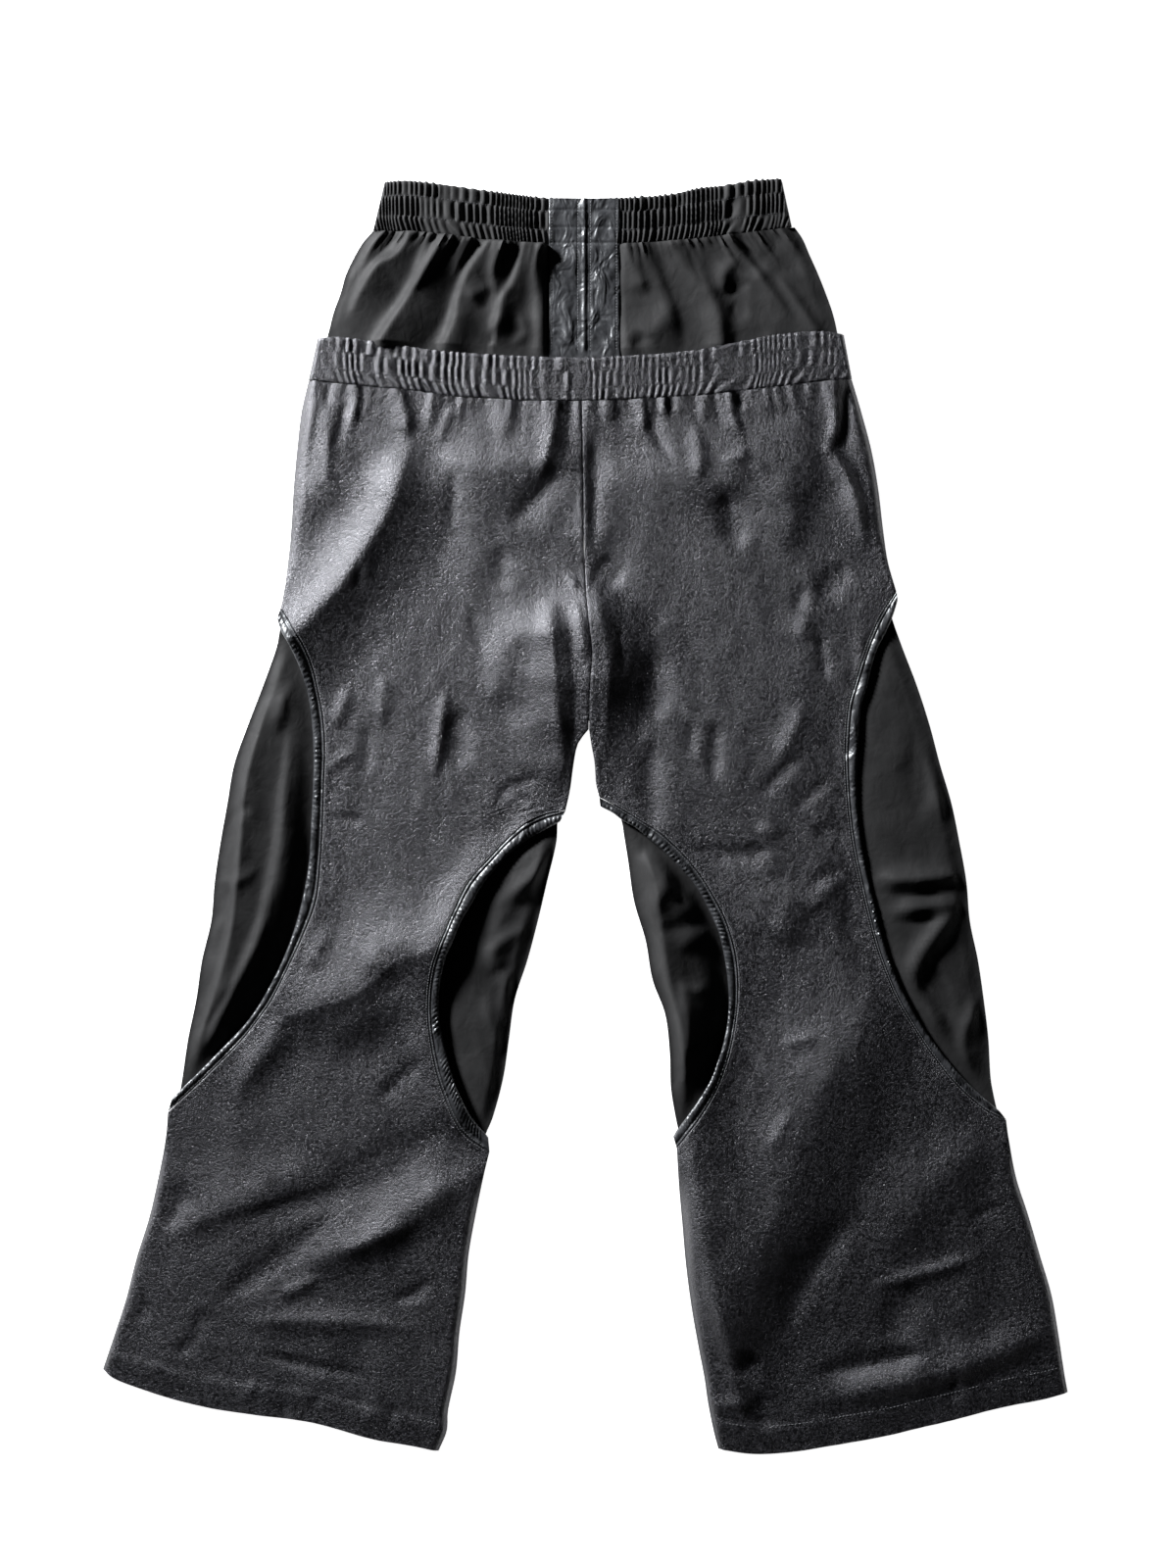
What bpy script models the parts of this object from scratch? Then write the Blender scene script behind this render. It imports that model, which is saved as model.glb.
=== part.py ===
"""A pair of double-waisted track pants, laid flat with the back up.

An inner pair in plain cloth shows above the outer waistband and in four crescent
cut-outs. The outer pair is a coated cloth with its own elastic waistband, and each
cut-out is edged with a sewn strip. Sizes are in millimetres: "down" is the distance
below the highest point of the waist, "x" is to the right of the centre line, and z is
above the surface that the garment lies on.
"""

import math

import bmesh
import bpy

# ---- driving sizes, mm -------------------------------------------------------------
LENGTH = 1104.0  # highest point of the waist to the lowest point of the hem
CLOTH = 1.2  # wall of each cloth layer
GAP = 0.3  # between two layers, and between two pieces at a seam
LAYER = CLOTH + GAP
ELASTIC_WALL = 2.0  # casing of the inner waistband with its elastic
BAND_AIR = 0.8  # between the two walls of the inner waistband
OUTER_BAND_WALL = 1.6
OUTER_BAND_CEILING = 6.0  # underside of the outer waistband's upper wall
FOLD_RADIUS = 4.5  # how far a waistband rounds over at its two ends
STRIP_WALL = 1.7  # the folded strip round each cut-out
STRIP_CROWN = 0.5
LEATHER_WALL = 1.1
LEATHER_HALF_WIDTH = 30.5
LEATHER_CENTRE = -1.0
LEATHER_END = 171.0  # tucked under the outer waistband
BESIDE_LEATHER = 33.0  # the hips' folds start this far from the centre seam
LEATHER_WELT = 0.6  # height of the seam along its middle
HEM_DEPTH = 26.0
HEM_EXTRA = 0.7  # the turned-up layer
INNER_END = 32.0  # the inner legs stop this far above the hem's edge
INNER_SEAM = -1.0  # x of the inner pair's centre seam
CROTCH = 477.0
INNER_CROTCH = 465.0
FRONT_SLACK = 1.2  # the plain lower panels start this much further below a waistband
EDGE_ROLL = 4.2  # width over which the upper outer panel comes down at a side seam
FOLD_FADE = 15.0  # folds die out over this width at a closed seam
HOLE_LIFT = 2.5  # the free edge of a cut-out stands this much proud
HOLE_REACH = 20.0  # width over which the cloth rises to that edge
SEAM_CLEAR = 12.0  # a side seam is not yet sewn shut this near a cut-out
SEAM_EASE = 50.0  # length over which it then closes
CROTCH_EASE = 25.0  # the inner legs part this far above the inner crotch
HEM_FLAT = 10.0  # this far above the hem's edge the two outer layers lie together
HEM_RISE = 12.0  # then the upper one comes up over the inner leg, over this length
FOLD_FLAT = 6.0  # no folds this near the hem's edge
FOLD_RISE = 24.0
WAIST_PUFF = 1.5  # fullness just below the outer waistband
PUFF_REACH = 45.0
TUCK_START = 98.0  # the inner pair goes in under the outer waistband from here
TUCK_LENGTH = 28.0
INNER_ROLL = 12.0  # width over which the upper inner panel comes down at a side seam
INNER_EDGE = 1.0
BULGE_CLEAR = 12.0  # the inner legs stay down this near a strip's free edge
BULGE_RISE = 10.0
BULGE_ENDS = 40.0  # and come down over this length at a cut-out's two ends
BULGE_CREST = 0.75  # share of the way out at which an inner leg's bulge is highest
SHOWN_START = 380.0  # the inner legs lie flat above this
LEATHER_EASE = 8.0  # the hips' folds come up over this width beside the leather
FAN_CLEAR = 2.0  # they come down this far above the outer waistband
FAN_EASE = 16.0
FOLD_START = 6.0  # they begin this far under the inner waistband
INNER_GATHERS_A_SIDE = 30
OUTER_GATHERS_A_SIDE = 26
GATHER_CLEAR = 33.0  # no gathers this near the centre of the inner waistband
OUTER_CLEAR = 3.0  # nor this near the centre of the outer one
MM = 0.001

# ---- edges: rows of (down, x) ------------------------------------------------------
INNER_BAND_TOP = (  # rows of (x, down), as for each edge that runs across
    (-174, 3), (-153, 2), (-118, 6), (-90, 10), (-60, 14), (-32, 17), (28, 17),
    (73, 14), (98, 8.5), (121, 6), (144, 2), (170, 0))
INNER_BAND_BOTTOM = (
    (-184, 45), (-134, 48), (-83, 54), (-32, 57), (28, 57), (87, 53), (138, 47), (179, 42))
OUTER_BAND_TOP = (
    (-232, 139), (-214, 138), (-168, 144), (-134, 149), (-100, 152), (-66, 154), (2, 156),
    (36, 154), (70, 152), (104, 148), (138, 141), (172, 135), (206, 133), (224, 136))
OUTER_BAND_BOTTOM = (
    (-240, 175), (-185, 181), (-151, 184), (-117, 189), (-83, 191), (-49, 193), (2, 193),
    (36, 192), (70, 190), (104, 188), (138, 184), (172, 180), (206, 176), (231, 174))
LEFT_HEM = (
    (-418, 1031), (-407, 1039), (-389, 1046), (-355, 1057), (-321, 1065), (-287, 1070),
    (-236, 1077), (-185, 1091), (-151, 1097), (-127, 1102))
RIGHT_HEM = (
    (115, 1100), (147, 1104), (181, 1102), (206, 1098), (257, 1089), (291, 1081),
    (317, 1075), (359, 1064), (395, 1057), (418, 1051))

CENTRE_SEAM = (
    (193, -3), (252, -2), (320, -1), (363, 1), (393, 4), (410, 6), (440, 4), (477, 3))

# Each leg's outer panel, from the waistband to the hem. "stitch" is where the panel
# ends and the strip begins, and "free" is the strip's free edge, round the cut-out.
LEFT_OUTSEAM = {
    "above": ((175, -240), (201, -246), (235, -250), (269, -253), (303, -255),
              (337, -258), (354, -260), (372, -263)),
    "stitch": ((372, -263), (388, -253), (405, -243), (422, -236), (444, -231),
               (465, -227), (492, -225), (524, -226), (558, -227), (592, -229),
               (626, -233), (660, -246), (677, -254), (711, -271), (728, -283),
               (748, -299), (778, -329), (794, -346), (808, -361)),
    "free": ((382, -266), (393, -262), (403, -256), (418, -249), (435, -243),
             (452, -239), (478, -236), (507, -235), (558, -237), (592, -239),
             (626, -245), (660, -255), (694, -270), (728, -291), (762, -323),
             (778, -339), (796, -357)),
    "below": ((808, -361), (830, -363), (864, -370), (898, -378), (932, -389),
              (966, -398), (1000, -409), (1031, -418)),
}
LEFT_INSEAM = {
    "above": ((477, 3), (489, -6), (507, -10), (529, -13), (547, -17)),
    "stitch": ((547, -17), (550, -32), (557, -49), (571, -66), (589, -83), (608, -100),
               (631, -112), (652, -121), (669, -128), (686, -133), (711, -136),
               (737, -135), (771, -129), (796, -121), (813, -114), (829, -103),
               (843, -83)),
    "free": ((557, -22), (564, -35), (572, -49), (585, -66), (598, -78), (612, -89),
             (628, -98), (643, -107), (660, -114), (677, -121), (703, -126),
             (728, -126), (745, -123), (762, -119), (779, -114), (796, -107),
             (813, -98), (830, -84)),
    "below": ((843, -83), (864, -88), (898, -95), (932, -101), (966, -104),
              (1000, -109), (1034, -112), (1068, -119), (1085, -120), (1102, -127)),
}
RIGHT_INSEAM = {
    "above": ((477, 3), (490, 5), (507, 8), (524, 9), (536, 12)),
    "stitch": ((536, 12), (542, 24), (549, 36), (557, 49), (565, 62), (576, 75),
               (588, 87), (604, 100), (622, 111), (639, 120), (656, 126), (673, 130),
               (694, 132), (720, 131), (754, 125), (784, 115), (801, 106), (816, 96),
               (828, 87), (839, 79)),
    "free": ((544, 13), (549, 23), (555, 31), (562, 43), (570, 53), (581, 66),
             (594, 79), (608, 92), (622, 101), (638, 109), (652, 115), (673, 120),
             (694, 123), (711, 124), (728, 123), (745, 120), (762, 115), (778, 109),
             (792, 101), (805, 92), (818, 83), (829, 76)),
    "below": ((839, 79), (873, 81), (907, 84), (941, 87), (979, 92), (1013, 98),
              (1039, 103), (1060, 106), (1085, 111), (1100, 115)),
}
RIGHT_OUTSEAM = {
    "above": ((174, 231), (201, 239), (235, 248), (269, 254), (303, 258), (333, 262),
              (358, 269)),
    "stitch": ((358, 269), (376, 257), (388, 251), (405, 244), (422, 238), (439, 233),
               (456, 228), (490, 225), (507, 225), (541, 227), (575, 231), (609, 238),
               (643, 246), (677, 256), (711, 270), (728, 280), (758, 300), (784, 321),
               (807, 347), (815, 364)),
    "free": ((366, 270), (379, 266), (393, 260), (407, 253), (422, 248), (439, 244),
             (456, 239), (490, 236), (524, 235), (558, 237), (592, 242), (626, 250),
             (660, 258), (694, 270), (728, 288), (754, 306), (779, 327), (796, 345),
             (807, 358)),
    "below": ((815, 364), (830, 366), (864, 373), (898, 384), (932, 394), (966, 404),
              (1000, 410), (1034, 415), (1051, 418)),
}

# The inner pair: it shows at the hips and in the cut-outs, and elsewhere it keeps
# about 6 mm inside the outer pair's seams.
LEFT_INNER_OUTSEAM = (
    (45, -184), (57, -194), (82, -207), (99, -212), (116, -218), (132, -222),
    (150, -227), (175, -233), (235, -243), (303, -247), (354, -252), (376, -258),
    (389, -264), (405, -267), (439, -279), (473, -292), (507, -304), (541, -310),
    (575, -316), (609, -321), (643, -324), (677, -332), (711, -337), (745, -344),
    (779, -349), (797, -352), (818, -355), (864, -364), (932, -382), (1002, -402))
LEFT_INNER_INSEAM = (
    (465, -1), (480, -9), (507, -16), (529, -20), (547, -23), (557, -24), (575, -25),
    (609, -33), (643, -41), (677, -50), (711, -61), (745, -66), (779, -71), (813, -80),
    (830, -87), (844, -90), (864, -94), (898, -101), (932, -107), (966, -110),
    (1000, -115), (1034, -118), (1070, -124))
RIGHT_INNER_INSEAM = (
    (465, -1), (480, 10), (507, 14), (524, 17), (538, 22), (555, 31), (567, 33),
    (592, 37), (626, 42), (660, 52), (694, 58), (724, 69), (758, 73), (788, 74),
    (813, 78), (826, 81), (839, 85), (873, 87), (907, 90), (941, 93), (979, 98),
    (1013, 104), (1039, 109), (1068, 114))
RIGHT_INNER_OUTSEAM = (
    (42, 179), (54, 188), (67, 194), (82, 201), (99, 208), (116, 214), (133, 218),
    (175, 224), (235, 242), (303, 252), (354, 259), (379, 265), (405, 274), (439, 287),
    (473, 298), (507, 307), (541, 317), (575, 324), (609, 330), (643, 333), (677, 340),
    (711, 345), (745, 349), (779, 351), (796, 354), (818, 359), (864, 367), (932, 388),
    (1002, 405), (1019, 408))

# ---- folds: half-width, height, then the (x, down) points of the fold's line ---------
OUTER_FOLDS = (
    # left thigh
    (20, 6.5, (-152, 201), (-157, 261), (-177, 303), (-211, 346), (-246, 386)),
    (25, 3.0, (-160, 240), (-108, 247), (-32, 244), (0, 244)),
    (14, 4.5, (-25, 348), (-44, 388), (-66, 416), (-86, 429)),
    (14, 3.0, (-35, 429), (-28, 482), (-35, 531)),
    (6, 2.5, (-197, 184), (-200, 218)),
    (6, 3.0, (-163, 184), (-155, 222)),
    (6, 2.5, (-134, 188), (-131, 218)),
    (7, 2.5, (-70, 193), (-71, 231)),
    (6, 2.5, (-27, 196), (-29, 227), (-43, 266)),
    (7, 2.5, (-118, 431), (-126, 487), (-132, 524)),
    # left shin
    (24, 4.5, (-48, 592), (-100, 635), (-168, 676), (-236, 715), (-300, 755)),
    (12, 2.5, (-118, 633), (-168, 660), (-199, 710)),
    (12, 3.0, (-101, 737), (-105, 788), (-117, 836)),
    (14, 2.5, (-185, 859), (-274, 883), (-373, 915)),
    (16, 5.0, (-83, 851), (-134, 883), (-189, 917), (-261, 951)),
    (10, 2.0, (-310, 990), (-227, 989), (-130, 995)),
    # right thigh
    (14, 2.5, (5, 235), (6, 286), (7, 341)),
    (26, 3.0, (7, 247), (87, 256), (172, 249), (220, 257)),
    (30, 6.5, (13, 343), (20, 388), (22, 431), (14, 494)),
    (6, 2.5, (49, 186), (50, 225)),
    (6, 2.5, (104, 185), (104, 215)),
    (6, 2.5, (125, 180), (127, 206), (137, 225)),
    (7, 3.0, (213, 178), (217, 210), (207, 244)),
    (9, 3.5, (198, 220), (223, 252), (234, 280), (244, 327)),
    (17, 3.0, (172, 246), (177, 286), (169, 331)),
    (18, 2.5, (179, 603), (169, 671)),
    # right shin
    (30, 7.0, (283, 652), (240, 711), (211, 771), (185, 830), (164, 898), (147, 975), (145, 1034)),
    (13, 6.0, (93, 779), (99, 856), (113, 941), (132, 1017), (140, 1060)),
    (21, 3.5, (354, 819), (300, 877), (256, 939)),
    (12, 3.5, (395, 999), (368, 1012), (308, 1034), (240, 1050), (172, 1063)),
)
HIP_FOLDS = (
    # the fan of soft folds below the inner waistband: left side, then right side
    (9, 5.5, (-156, 60), (-173, 79), (-191, 99), (-204, 123), (-212, 138)),
    (8, 5.5, (-121, 60), (-136, 79), (-152, 105), (-165, 125), (-174, 142)),
    (8, 5.0, (-87, 62), (-101, 84), (-110, 103), (-117, 125), (-121, 142)),
    (6, 3.5, (-71, 62), (-78, 82), (-79, 104), (-88, 130)),
    (6, 3.5, (-52, 70), (-62, 98), (-71, 118), (-76, 139)),
    (6, 3.5, (-39, 67), (-38, 91), (-38, 140)),
    (7, 3.5, (38, 62), (45, 82), (53, 103)),
    (8, 4.5, (57, 62), (65, 86), (74, 110), (64, 128), (45, 140)),
    (7, 4.0, (81, 60), (101, 89), (115, 115), (118, 142)),
    (6, 2.5, (131, 67), (121, 86), (125, 103)),
    (6, 3.5, (127, 56), (154, 89), (183, 127)),
    (6, 3.0, (164, 81), (188, 113), (204, 138)),
)
CUTOUT_FOLDS = (
    # the inner legs where the cut-outs show them
    (9, 2.5, (-263, 473), (-273, 524), (-285, 586)),
    (9, 2.5, (-285, 576), (-295, 635), (-305, 703)),
    (8, 2.5, (-42, 643), (-79, 669), (-66, 703), (-72, 745)),
    (8, 3.0, (49, 565), (67, 592), (68, 611), (57, 635)),
    (9, 2.5, (82, 686), (89, 737), (81, 783)),
    (9, 2.5, (300, 473), (310, 567)),
    (8, 2.5, (261, 621), (327, 659)),
    (8, 3.0, (349, 694), (327, 745), (339, 783)),
)
COLOURS = {  # red, green, blue, roughness
    "coated": (0.012, 0.012, 0.015, 0.42),
    "plain": (0.010, 0.010, 0.011, 0.62),
    "leather": (0.011, 0.012, 0.014, 0.30),
}


# ---- curves and surfaces -------------------------------------------------------------
def smooth_step(t):
    t = min(max(t, 0.0), 1.0)
    return t * t * (3.0 - 2.0 * t)


def along(rows):
    """A smooth function through (position, value) rows, flat in slope at no row."""
    keys = [float(row[0]) for row in rows]
    values = [float(row[1]) for row in rows]
    slopes = []
    for i in range(len(rows)):
        a, b = max(i - 1, 0), min(i + 1, len(rows) - 1)
        slopes.append((values[b] - values[a]) / (keys[b] - keys[a]))

    def value(key):
        key = min(max(key, keys[0]), keys[-1])
        i = 0
        while i < len(keys) - 2 and key > keys[i + 1]:
            i += 1
        step = keys[i + 1] - keys[i]
        t = (key - keys[i]) / step
        rise = values[i + 1] - values[i]
        start, end = slopes[i] * step, slopes[i + 1] * step
        bend = (start + end - 2.0 * rise) * t + 3.0 * rise - 2.0 * start - end
        return values[i] + t * (start + t * bend)

    return value


inner_band_top = along(INNER_BAND_TOP)
inner_band_bottom = along(INNER_BAND_BOTTOM)
outer_band_top = along(OUTER_BAND_TOP)
outer_band_bottom = along(OUTER_BAND_BOTTOM)
centre_seam = along(CENTRE_SEAM)


class Side:
    """One long edge of a leg's outer panel, with its cut-out."""

    def __init__(self, table, bulge, start=None):
        self.bulge = bulge  # height to which the inner leg stands up in the cut-out
        self.above = along(table["above"])
        self.stitch = along(table["stitch"])
        self.free = along(table["free"])
        self.below = along(table["below"])
        self.start = start  # the centre seam, on the inseam side
        self.top = table["stitch"][0][0]
        self.bottom = table["stitch"][-1][0]
        self.free_span = (table["free"][0][0], table["free"][-1][0])

    def closed(self, down):
        """1 where the seam is sewn shut on its twin, 0 by the cut-out and the crotch."""
        above = 0.0 if self.start else smooth_step((self.top - SEAM_CLEAR - down) / SEAM_EASE)
        return above + smooth_step((down - self.bottom - SEAM_CLEAR) / SEAM_EASE)

    def x(self, down):
        if self.start and down < CROTCH:
            return self.start(down)
        if down < self.top:
            return self.above(down)
        return self.stitch(down) if down < self.bottom else self.below(down)


class Leg:
    """The edges of one leg, and the heights of its layers."""

    def __init__(self, left, right, inner_left, inner_right, hem, hand):
        self.left, self.right = left, right
        self.inner_left, self.inner_right = along(inner_left), along(inner_right)
        self.hem = along(hem)
        self.hand = hand  # -1 for the left leg, 1 for the right

    def inset(self, x, down):
        """How far a point lies inside the inner leg's outline."""
        from_left = x - self.inner_left(down)
        from_right = self.inner_right(down) - x
        if down < INNER_CROTCH - CROTCH_EASE:
            return from_left if self.hand < 0 else from_right
        return min(from_left, from_right)

    def outer_floor(self, x, down):
        """z of the underside of the upper outer layer: it lies on the inner leg, comes
        down on its twin at the closed seams and the hem, and stands up in its folds."""
        above_hem = self.hem(x) - down
        over = smooth_step((above_hem - HEM_FLAT) / HEM_RISE)
        loose = smooth_step((above_hem - FOLD_FLAT) / FOLD_RISE)
        lift = 0.0
        for side in (self.left, self.right):
            away = abs(x - side.x(down))
            closed = side.closed(down)
            over *= 1.0 - closed * (1.0 - smooth_step(away / EDGE_ROLL))
            loose *= 1.0 - closed * (1.0 - smooth_step(away / FOLD_FADE))
            if side.top < down < side.bottom:
                t = (down - side.top) / (side.bottom - side.top)
                lift += HOLE_LIFT * math.sin(math.pi * t) * math.exp(-((away / HOLE_REACH) ** 2))
        from_band = max(down - outer_band_bottom(x), 0.0)
        puff = WAIST_PUFF * math.exp(-((from_band / PUFF_REACH) ** 2))
        height = folds_at(OUTER_FOLDS, x, down) + puff + lift
        return LAYER + 2.0 * LAYER * over + loose * height


def folds_at(folds, x, down):
    """Summed height of soft ridges, each a rounded hump along its line."""
    total = 0.0
    for half_width, height, *line in folds:
        away = min(distance(x, down, a, b) for a, b in zip(line, line[1:]))
        total += height * math.exp(-((away / half_width) ** 2))
    return total


def distance(x, down, start, end):
    """From a point to the straight run between two others."""
    run_x, run_down = end[0] - start[0], end[1] - start[1]
    t = (x - start[0]) * run_x + (down - start[1]) * run_down
    t = min(max(t / (run_x**2 + run_down**2), 0.0), 1.0)
    return math.hypot(x - start[0] - t * run_x, down - start[1] - t * run_down)


def inner_rest(down):
    """z of the lower inner layer: on the floor at the hips, then on the outer pair."""
    return LAYER * smooth_step((down - TUCK_START) / TUCK_LENGTH)


def shown(leg, x, down):
    """From 0 to 1, how free the inner leg is to stand up where a cut-out shows it, and
    how far its bulge lifts it there."""
    free, bulge = 0.0, 0.0
    for side, outward, edge in ((leg.left, -1, leg.inner_left), (leg.right, 1, leg.inner_right)):
        first, last = side.free_span
        if first < down < last and down > SHOWN_START:
            slope = (side.free(down + 2.0) - side.free(down - 2.0)) / 4.0
            clear = (x - side.free(down)) * outward / math.hypot(1.0, slope)
            room = (edge(down) - side.free(down)) * outward
            share = (clear - BULGE_CLEAR) / max(BULGE_CREST * room - BULGE_CLEAR, BULGE_RISE)
            ends = smooth_step((down - first) / BULGE_ENDS) * smooth_step((last - down) / BULGE_ENDS)
            free = max(free, smooth_step((clear - BULGE_CLEAR) / BULGE_RISE))
            bulge = max(bulge, side.bulge * smooth_step(share) * ends)
    return free, bulge


def inner_floor(leg, x, down):
    """z of the underside of the upper inner layer."""
    base = inner_rest(down) + LAYER
    edge = smooth_step((leg.inset(x, down) - INNER_EDGE) / INNER_ROLL)
    seam = smooth_step((abs(x - INNER_SEAM) - BESIDE_LEATHER) / LEATHER_EASE)
    from_band = down - inner_band_bottom(x)
    fall = math.exp(-((max(from_band, 0.0) / PUFF_REACH) ** 2))
    puff = (ELASTIC_WALL + BAND_AIR + ELASTIC_WALL - LAYER - CLOTH) * fall
    above_outer = smooth_step((outer_band_top(x) - FAN_CLEAR - down) / FAN_EASE)
    fan = folds_at(HIP_FOLDS, x, down) * seam * above_outer
    fan *= smooth_step((from_band + FOLD_START) / (2.0 * FOLD_START))
    free, bulge = shown(leg, x, down)
    sway = folds_at(CUTOUT_FOLDS, x, down) * free + bulge
    return base + edge * (puff * above_outer + fan + sway)


LEFT = Leg(
    Side(LEFT_OUTSEAM, 7.0), Side(LEFT_INSEAM, 2.0, centre_seam),
    LEFT_INNER_OUTSEAM, LEFT_INNER_INSEAM, LEFT_HEM, -1)
RIGHT = Leg(
    Side(RIGHT_INSEAM, 5.5, centre_seam), Side(RIGHT_OUTSEAM, 2.0),
    RIGHT_INNER_INSEAM, RIGHT_INNER_OUTSEAM, RIGHT_HEM, 1)

# Rows of a leg's outer panel: where each named level meets its left and right edge,
# and how many rows lead on from it to the next level.
LEFT_LEVELS = (
    # left, right, rows
    (175, 193, 8),  # waistband
    (372, 363, 4),  # outer cut-out begins
    (470, 477, 3),  # crotch
    (535, 547, 12),  # inner cut-out begins
    (808, 843, 7),  # both cut-outs end
    (1002, 1072, 1),
    (1005, 1075, 1),  # top of the hem
    (1031, 1102, 0),
)
RIGHT_LEVELS = (
    (193, 174, 8),
    (363, 358, 4),
    (477, 470, 3),
    (536, 530, 12),
    (839, 815, 7),
    (1070, 1023, 1),
    (1073, 1026, 1),
    (1100, 1051, 0),
)
# Rows of an inner panel: its outseam and its inseam, and the rows on to the next level
INNER_LEVELS = (
    (45, 57, 9),  # waistband
    (140, 150, 3),  # under the outer waistband
    (372, 390, 3),  # outer cut-out begins
    (447, 465, 14),  # crotch
    (830, 860, 3),  # both cut-outs end
    (1000, 1068, 0),
)
WAIST_ROWS = 6  # rows over which a panel takes up the curve of its waist
HEM_ROWS = 7
OUTER_COLUMNS = 8  # between the rolled edges
INNER_COLUMNS = 12  # past the leather panel's edge
INNER_CROWD = 0.5  # how far the inner legs' columns crowd towards the cut-outs
CROWD_START = 330.0
CROWD_LENGTH = 80.0
LOWER_COLUMNS = 3  # of the plain lower panels
CURVE_STEPS = 120  # in which the length of a curve is measured
HEM_TURN_ROWS = 2


def rows_of(levels):
    """(left down, right down) of every row, from the levels."""
    rows = []
    for (left, right, count), following in zip(levels, levels[1:]):
        for i in range(count):
            t = i / count
            rows.append((left + t * (following[0] - left), right + t * (following[1] - right)))
    rows.append(levels[-1][:2])
    return rows


def side_normal(points, i):
    """Unit vector across a run of (x, down) points, to the right as it goes down."""
    a, b = points[max(i - 1, 0)], points[min(i + 1, len(points) - 1)]
    run_x, run_down = b[0] - a[0], b[1] - a[1]
    size = math.hypot(run_x, run_down)
    return run_down / size, -run_x / size


def shifted(points, distance):
    """The same run moved sideways: to the right for a positive distance."""
    moved = []
    for i, (x, down) in enumerate(points):
        across = side_normal(points, i)
        moved.append((x + distance * across[0], down + distance * across[1]))
    return moved


def edge_runs(leg, levels):
    """The outer panel's left and right edge, a point for each row."""
    rows = rows_of(levels)
    left = [(leg.left.x(row[0]), row[0]) for row in rows]
    right = [(leg.right.x(row[1]), row[1]) for row in rows]
    return shifted(left, GAP / 2), shifted(right, -GAP / 2)


def rolled_shares(width, middle):
    """Places across a panel from 0 to 1, close together where its side seams roll."""
    near = [0.0, EDGE_ROLL / 2.0, EDGE_ROLL, 2.0 * EDGE_ROLL]
    room = width - 2.0 * near[-1]
    between = [near[-1] + room * i / middle for i in range(1, middle)]
    places = near + between + [width - d for d in reversed(near)]
    return [d / width for d in places]


def inner_shares(width, spread):
    """Places from the inner seam, at 0, to the outseam, at 1. The leather panel's edge
    has a column of its own, and spread, 0 to 1, crowds the others to both ends."""
    near = [0.0, BESIDE_LEATHER / 2.0, BESIDE_LEATHER]
    room = width - near[-1]
    turn = 2.0 * math.pi
    even = [i / INNER_COLUMNS for i in range(1, INNER_COLUMNS + 1)]
    crowded = [t - spread * INNER_CROWD * math.sin(turn * t) / turn for t in even]
    return [d / width for d in near + [near[-1] + room * t for t in crowded]]


def even_run(curve, span, shares):
    """Points (x, down) at these shares of the length of a curve, over a span of downs."""
    points = []
    for i in range(CURVE_STEPS + 1):
        down = span[0] + (span[1] - span[0]) * i / CURVE_STEPS
        points.append((curve(down), down))
    lengths = run_lengths(points)
    place_x = along([(size, point[0]) for size, point in zip(lengths, points)])
    place_down = along([(size, point[1]) for size, point in zip(lengths, points)])
    return [(place_x(share * lengths[-1]), place_down(share * lengths[-1])) for share in shares]


def run_lengths(points):
    lengths = [0.0]
    for a, b in zip(points, points[1:]):
        lengths.append(lengths[-1] + math.dist(a, b))
    return lengths


# ---- mesh building -------------------------------------------------------------------
def material(name):
    red, green, blue, roughness = COLOURS[name]
    made = bpy.data.materials.get(name) or bpy.data.materials.new(name)
    made.use_nodes = True
    shader = made.node_tree.nodes["Principled BSDF"]
    shader.inputs["Base Color"].default_value = (red, green, blue, 1.0)
    shader.inputs["Roughness"].default_value = roughness
    shader.inputs["Metallic"].default_value = 0.0
    return made


def to_scene(x, down, z):
    return x * MM, (LENGTH / 2 - down) * MM, z * MM


def keep(name, bm, finish):
    bmesh.ops.recalc_face_normals(bm, faces=bm.faces)
    mesh = bpy.data.meshes.new(name)
    bm.to_mesh(mesh)
    bm.free()
    made = bpy.data.objects.new(name, mesh)
    made.data.materials.append(material(finish))
    made.data.shade_smooth()
    made.data.set_sharp_from_angle(angle=math.radians(50))
    bpy.data.collections["track_pants"].objects.link(made)
    return made


def sheet(name, columns, rows, place, wall, finish):
    """A cloth wall: a grid laid out by place(column, row) -> (x, down, z of its
    underside), then raised by wall(column, row)."""
    bm = bmesh.new()
    bmesh.ops.create_grid(bm, x_segments=columns - 1, y_segments=rows - 1, size=1.0)
    cells = {}
    for vert in bm.verts:
        column = round((vert.co.x + 1.0) / 2.0 * (columns - 1))
        row = round((vert.co.y + 1.0) / 2.0 * (rows - 1))
        cells[vert] = (column, row)
    for vert, (column, row) in cells.items():
        vert.co = to_scene(*place(column, row))
    walls = {tuple(vert.co): wall(*cell) for vert, cell in cells.items()}
    raised = bmesh.ops.extrude_face_region(bm, geom=bm.faces[:], use_keep_orig=True)
    for vert in raised["geom"]:
        if isinstance(vert, bmesh.types.BMVert):
            vert.co.z += walls[tuple(vert.co)] * MM
    return keep(name, bm, finish)


def ring(name, columns, section, place, finish):
    """A closed band: a grid wrapped round twice, along the band and round its wall.
    place(column, step) gives (x, down, z), and both run round to their start."""
    bm = bmesh.new()
    bmesh.ops.create_grid(bm, x_segments=columns, y_segments=section, size=1.0)
    for vert in bm.verts:
        column = round((vert.co.x + 1.0) / 2.0 * columns) % columns
        step = round((vert.co.y + 1.0) / 2.0 * section) % section
        vert.co = to_scene(*place(column, step))
    bmesh.ops.remove_doubles(bm, verts=bm.verts, dist=1e-6)
    return keep(name, bm, finish)


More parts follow.
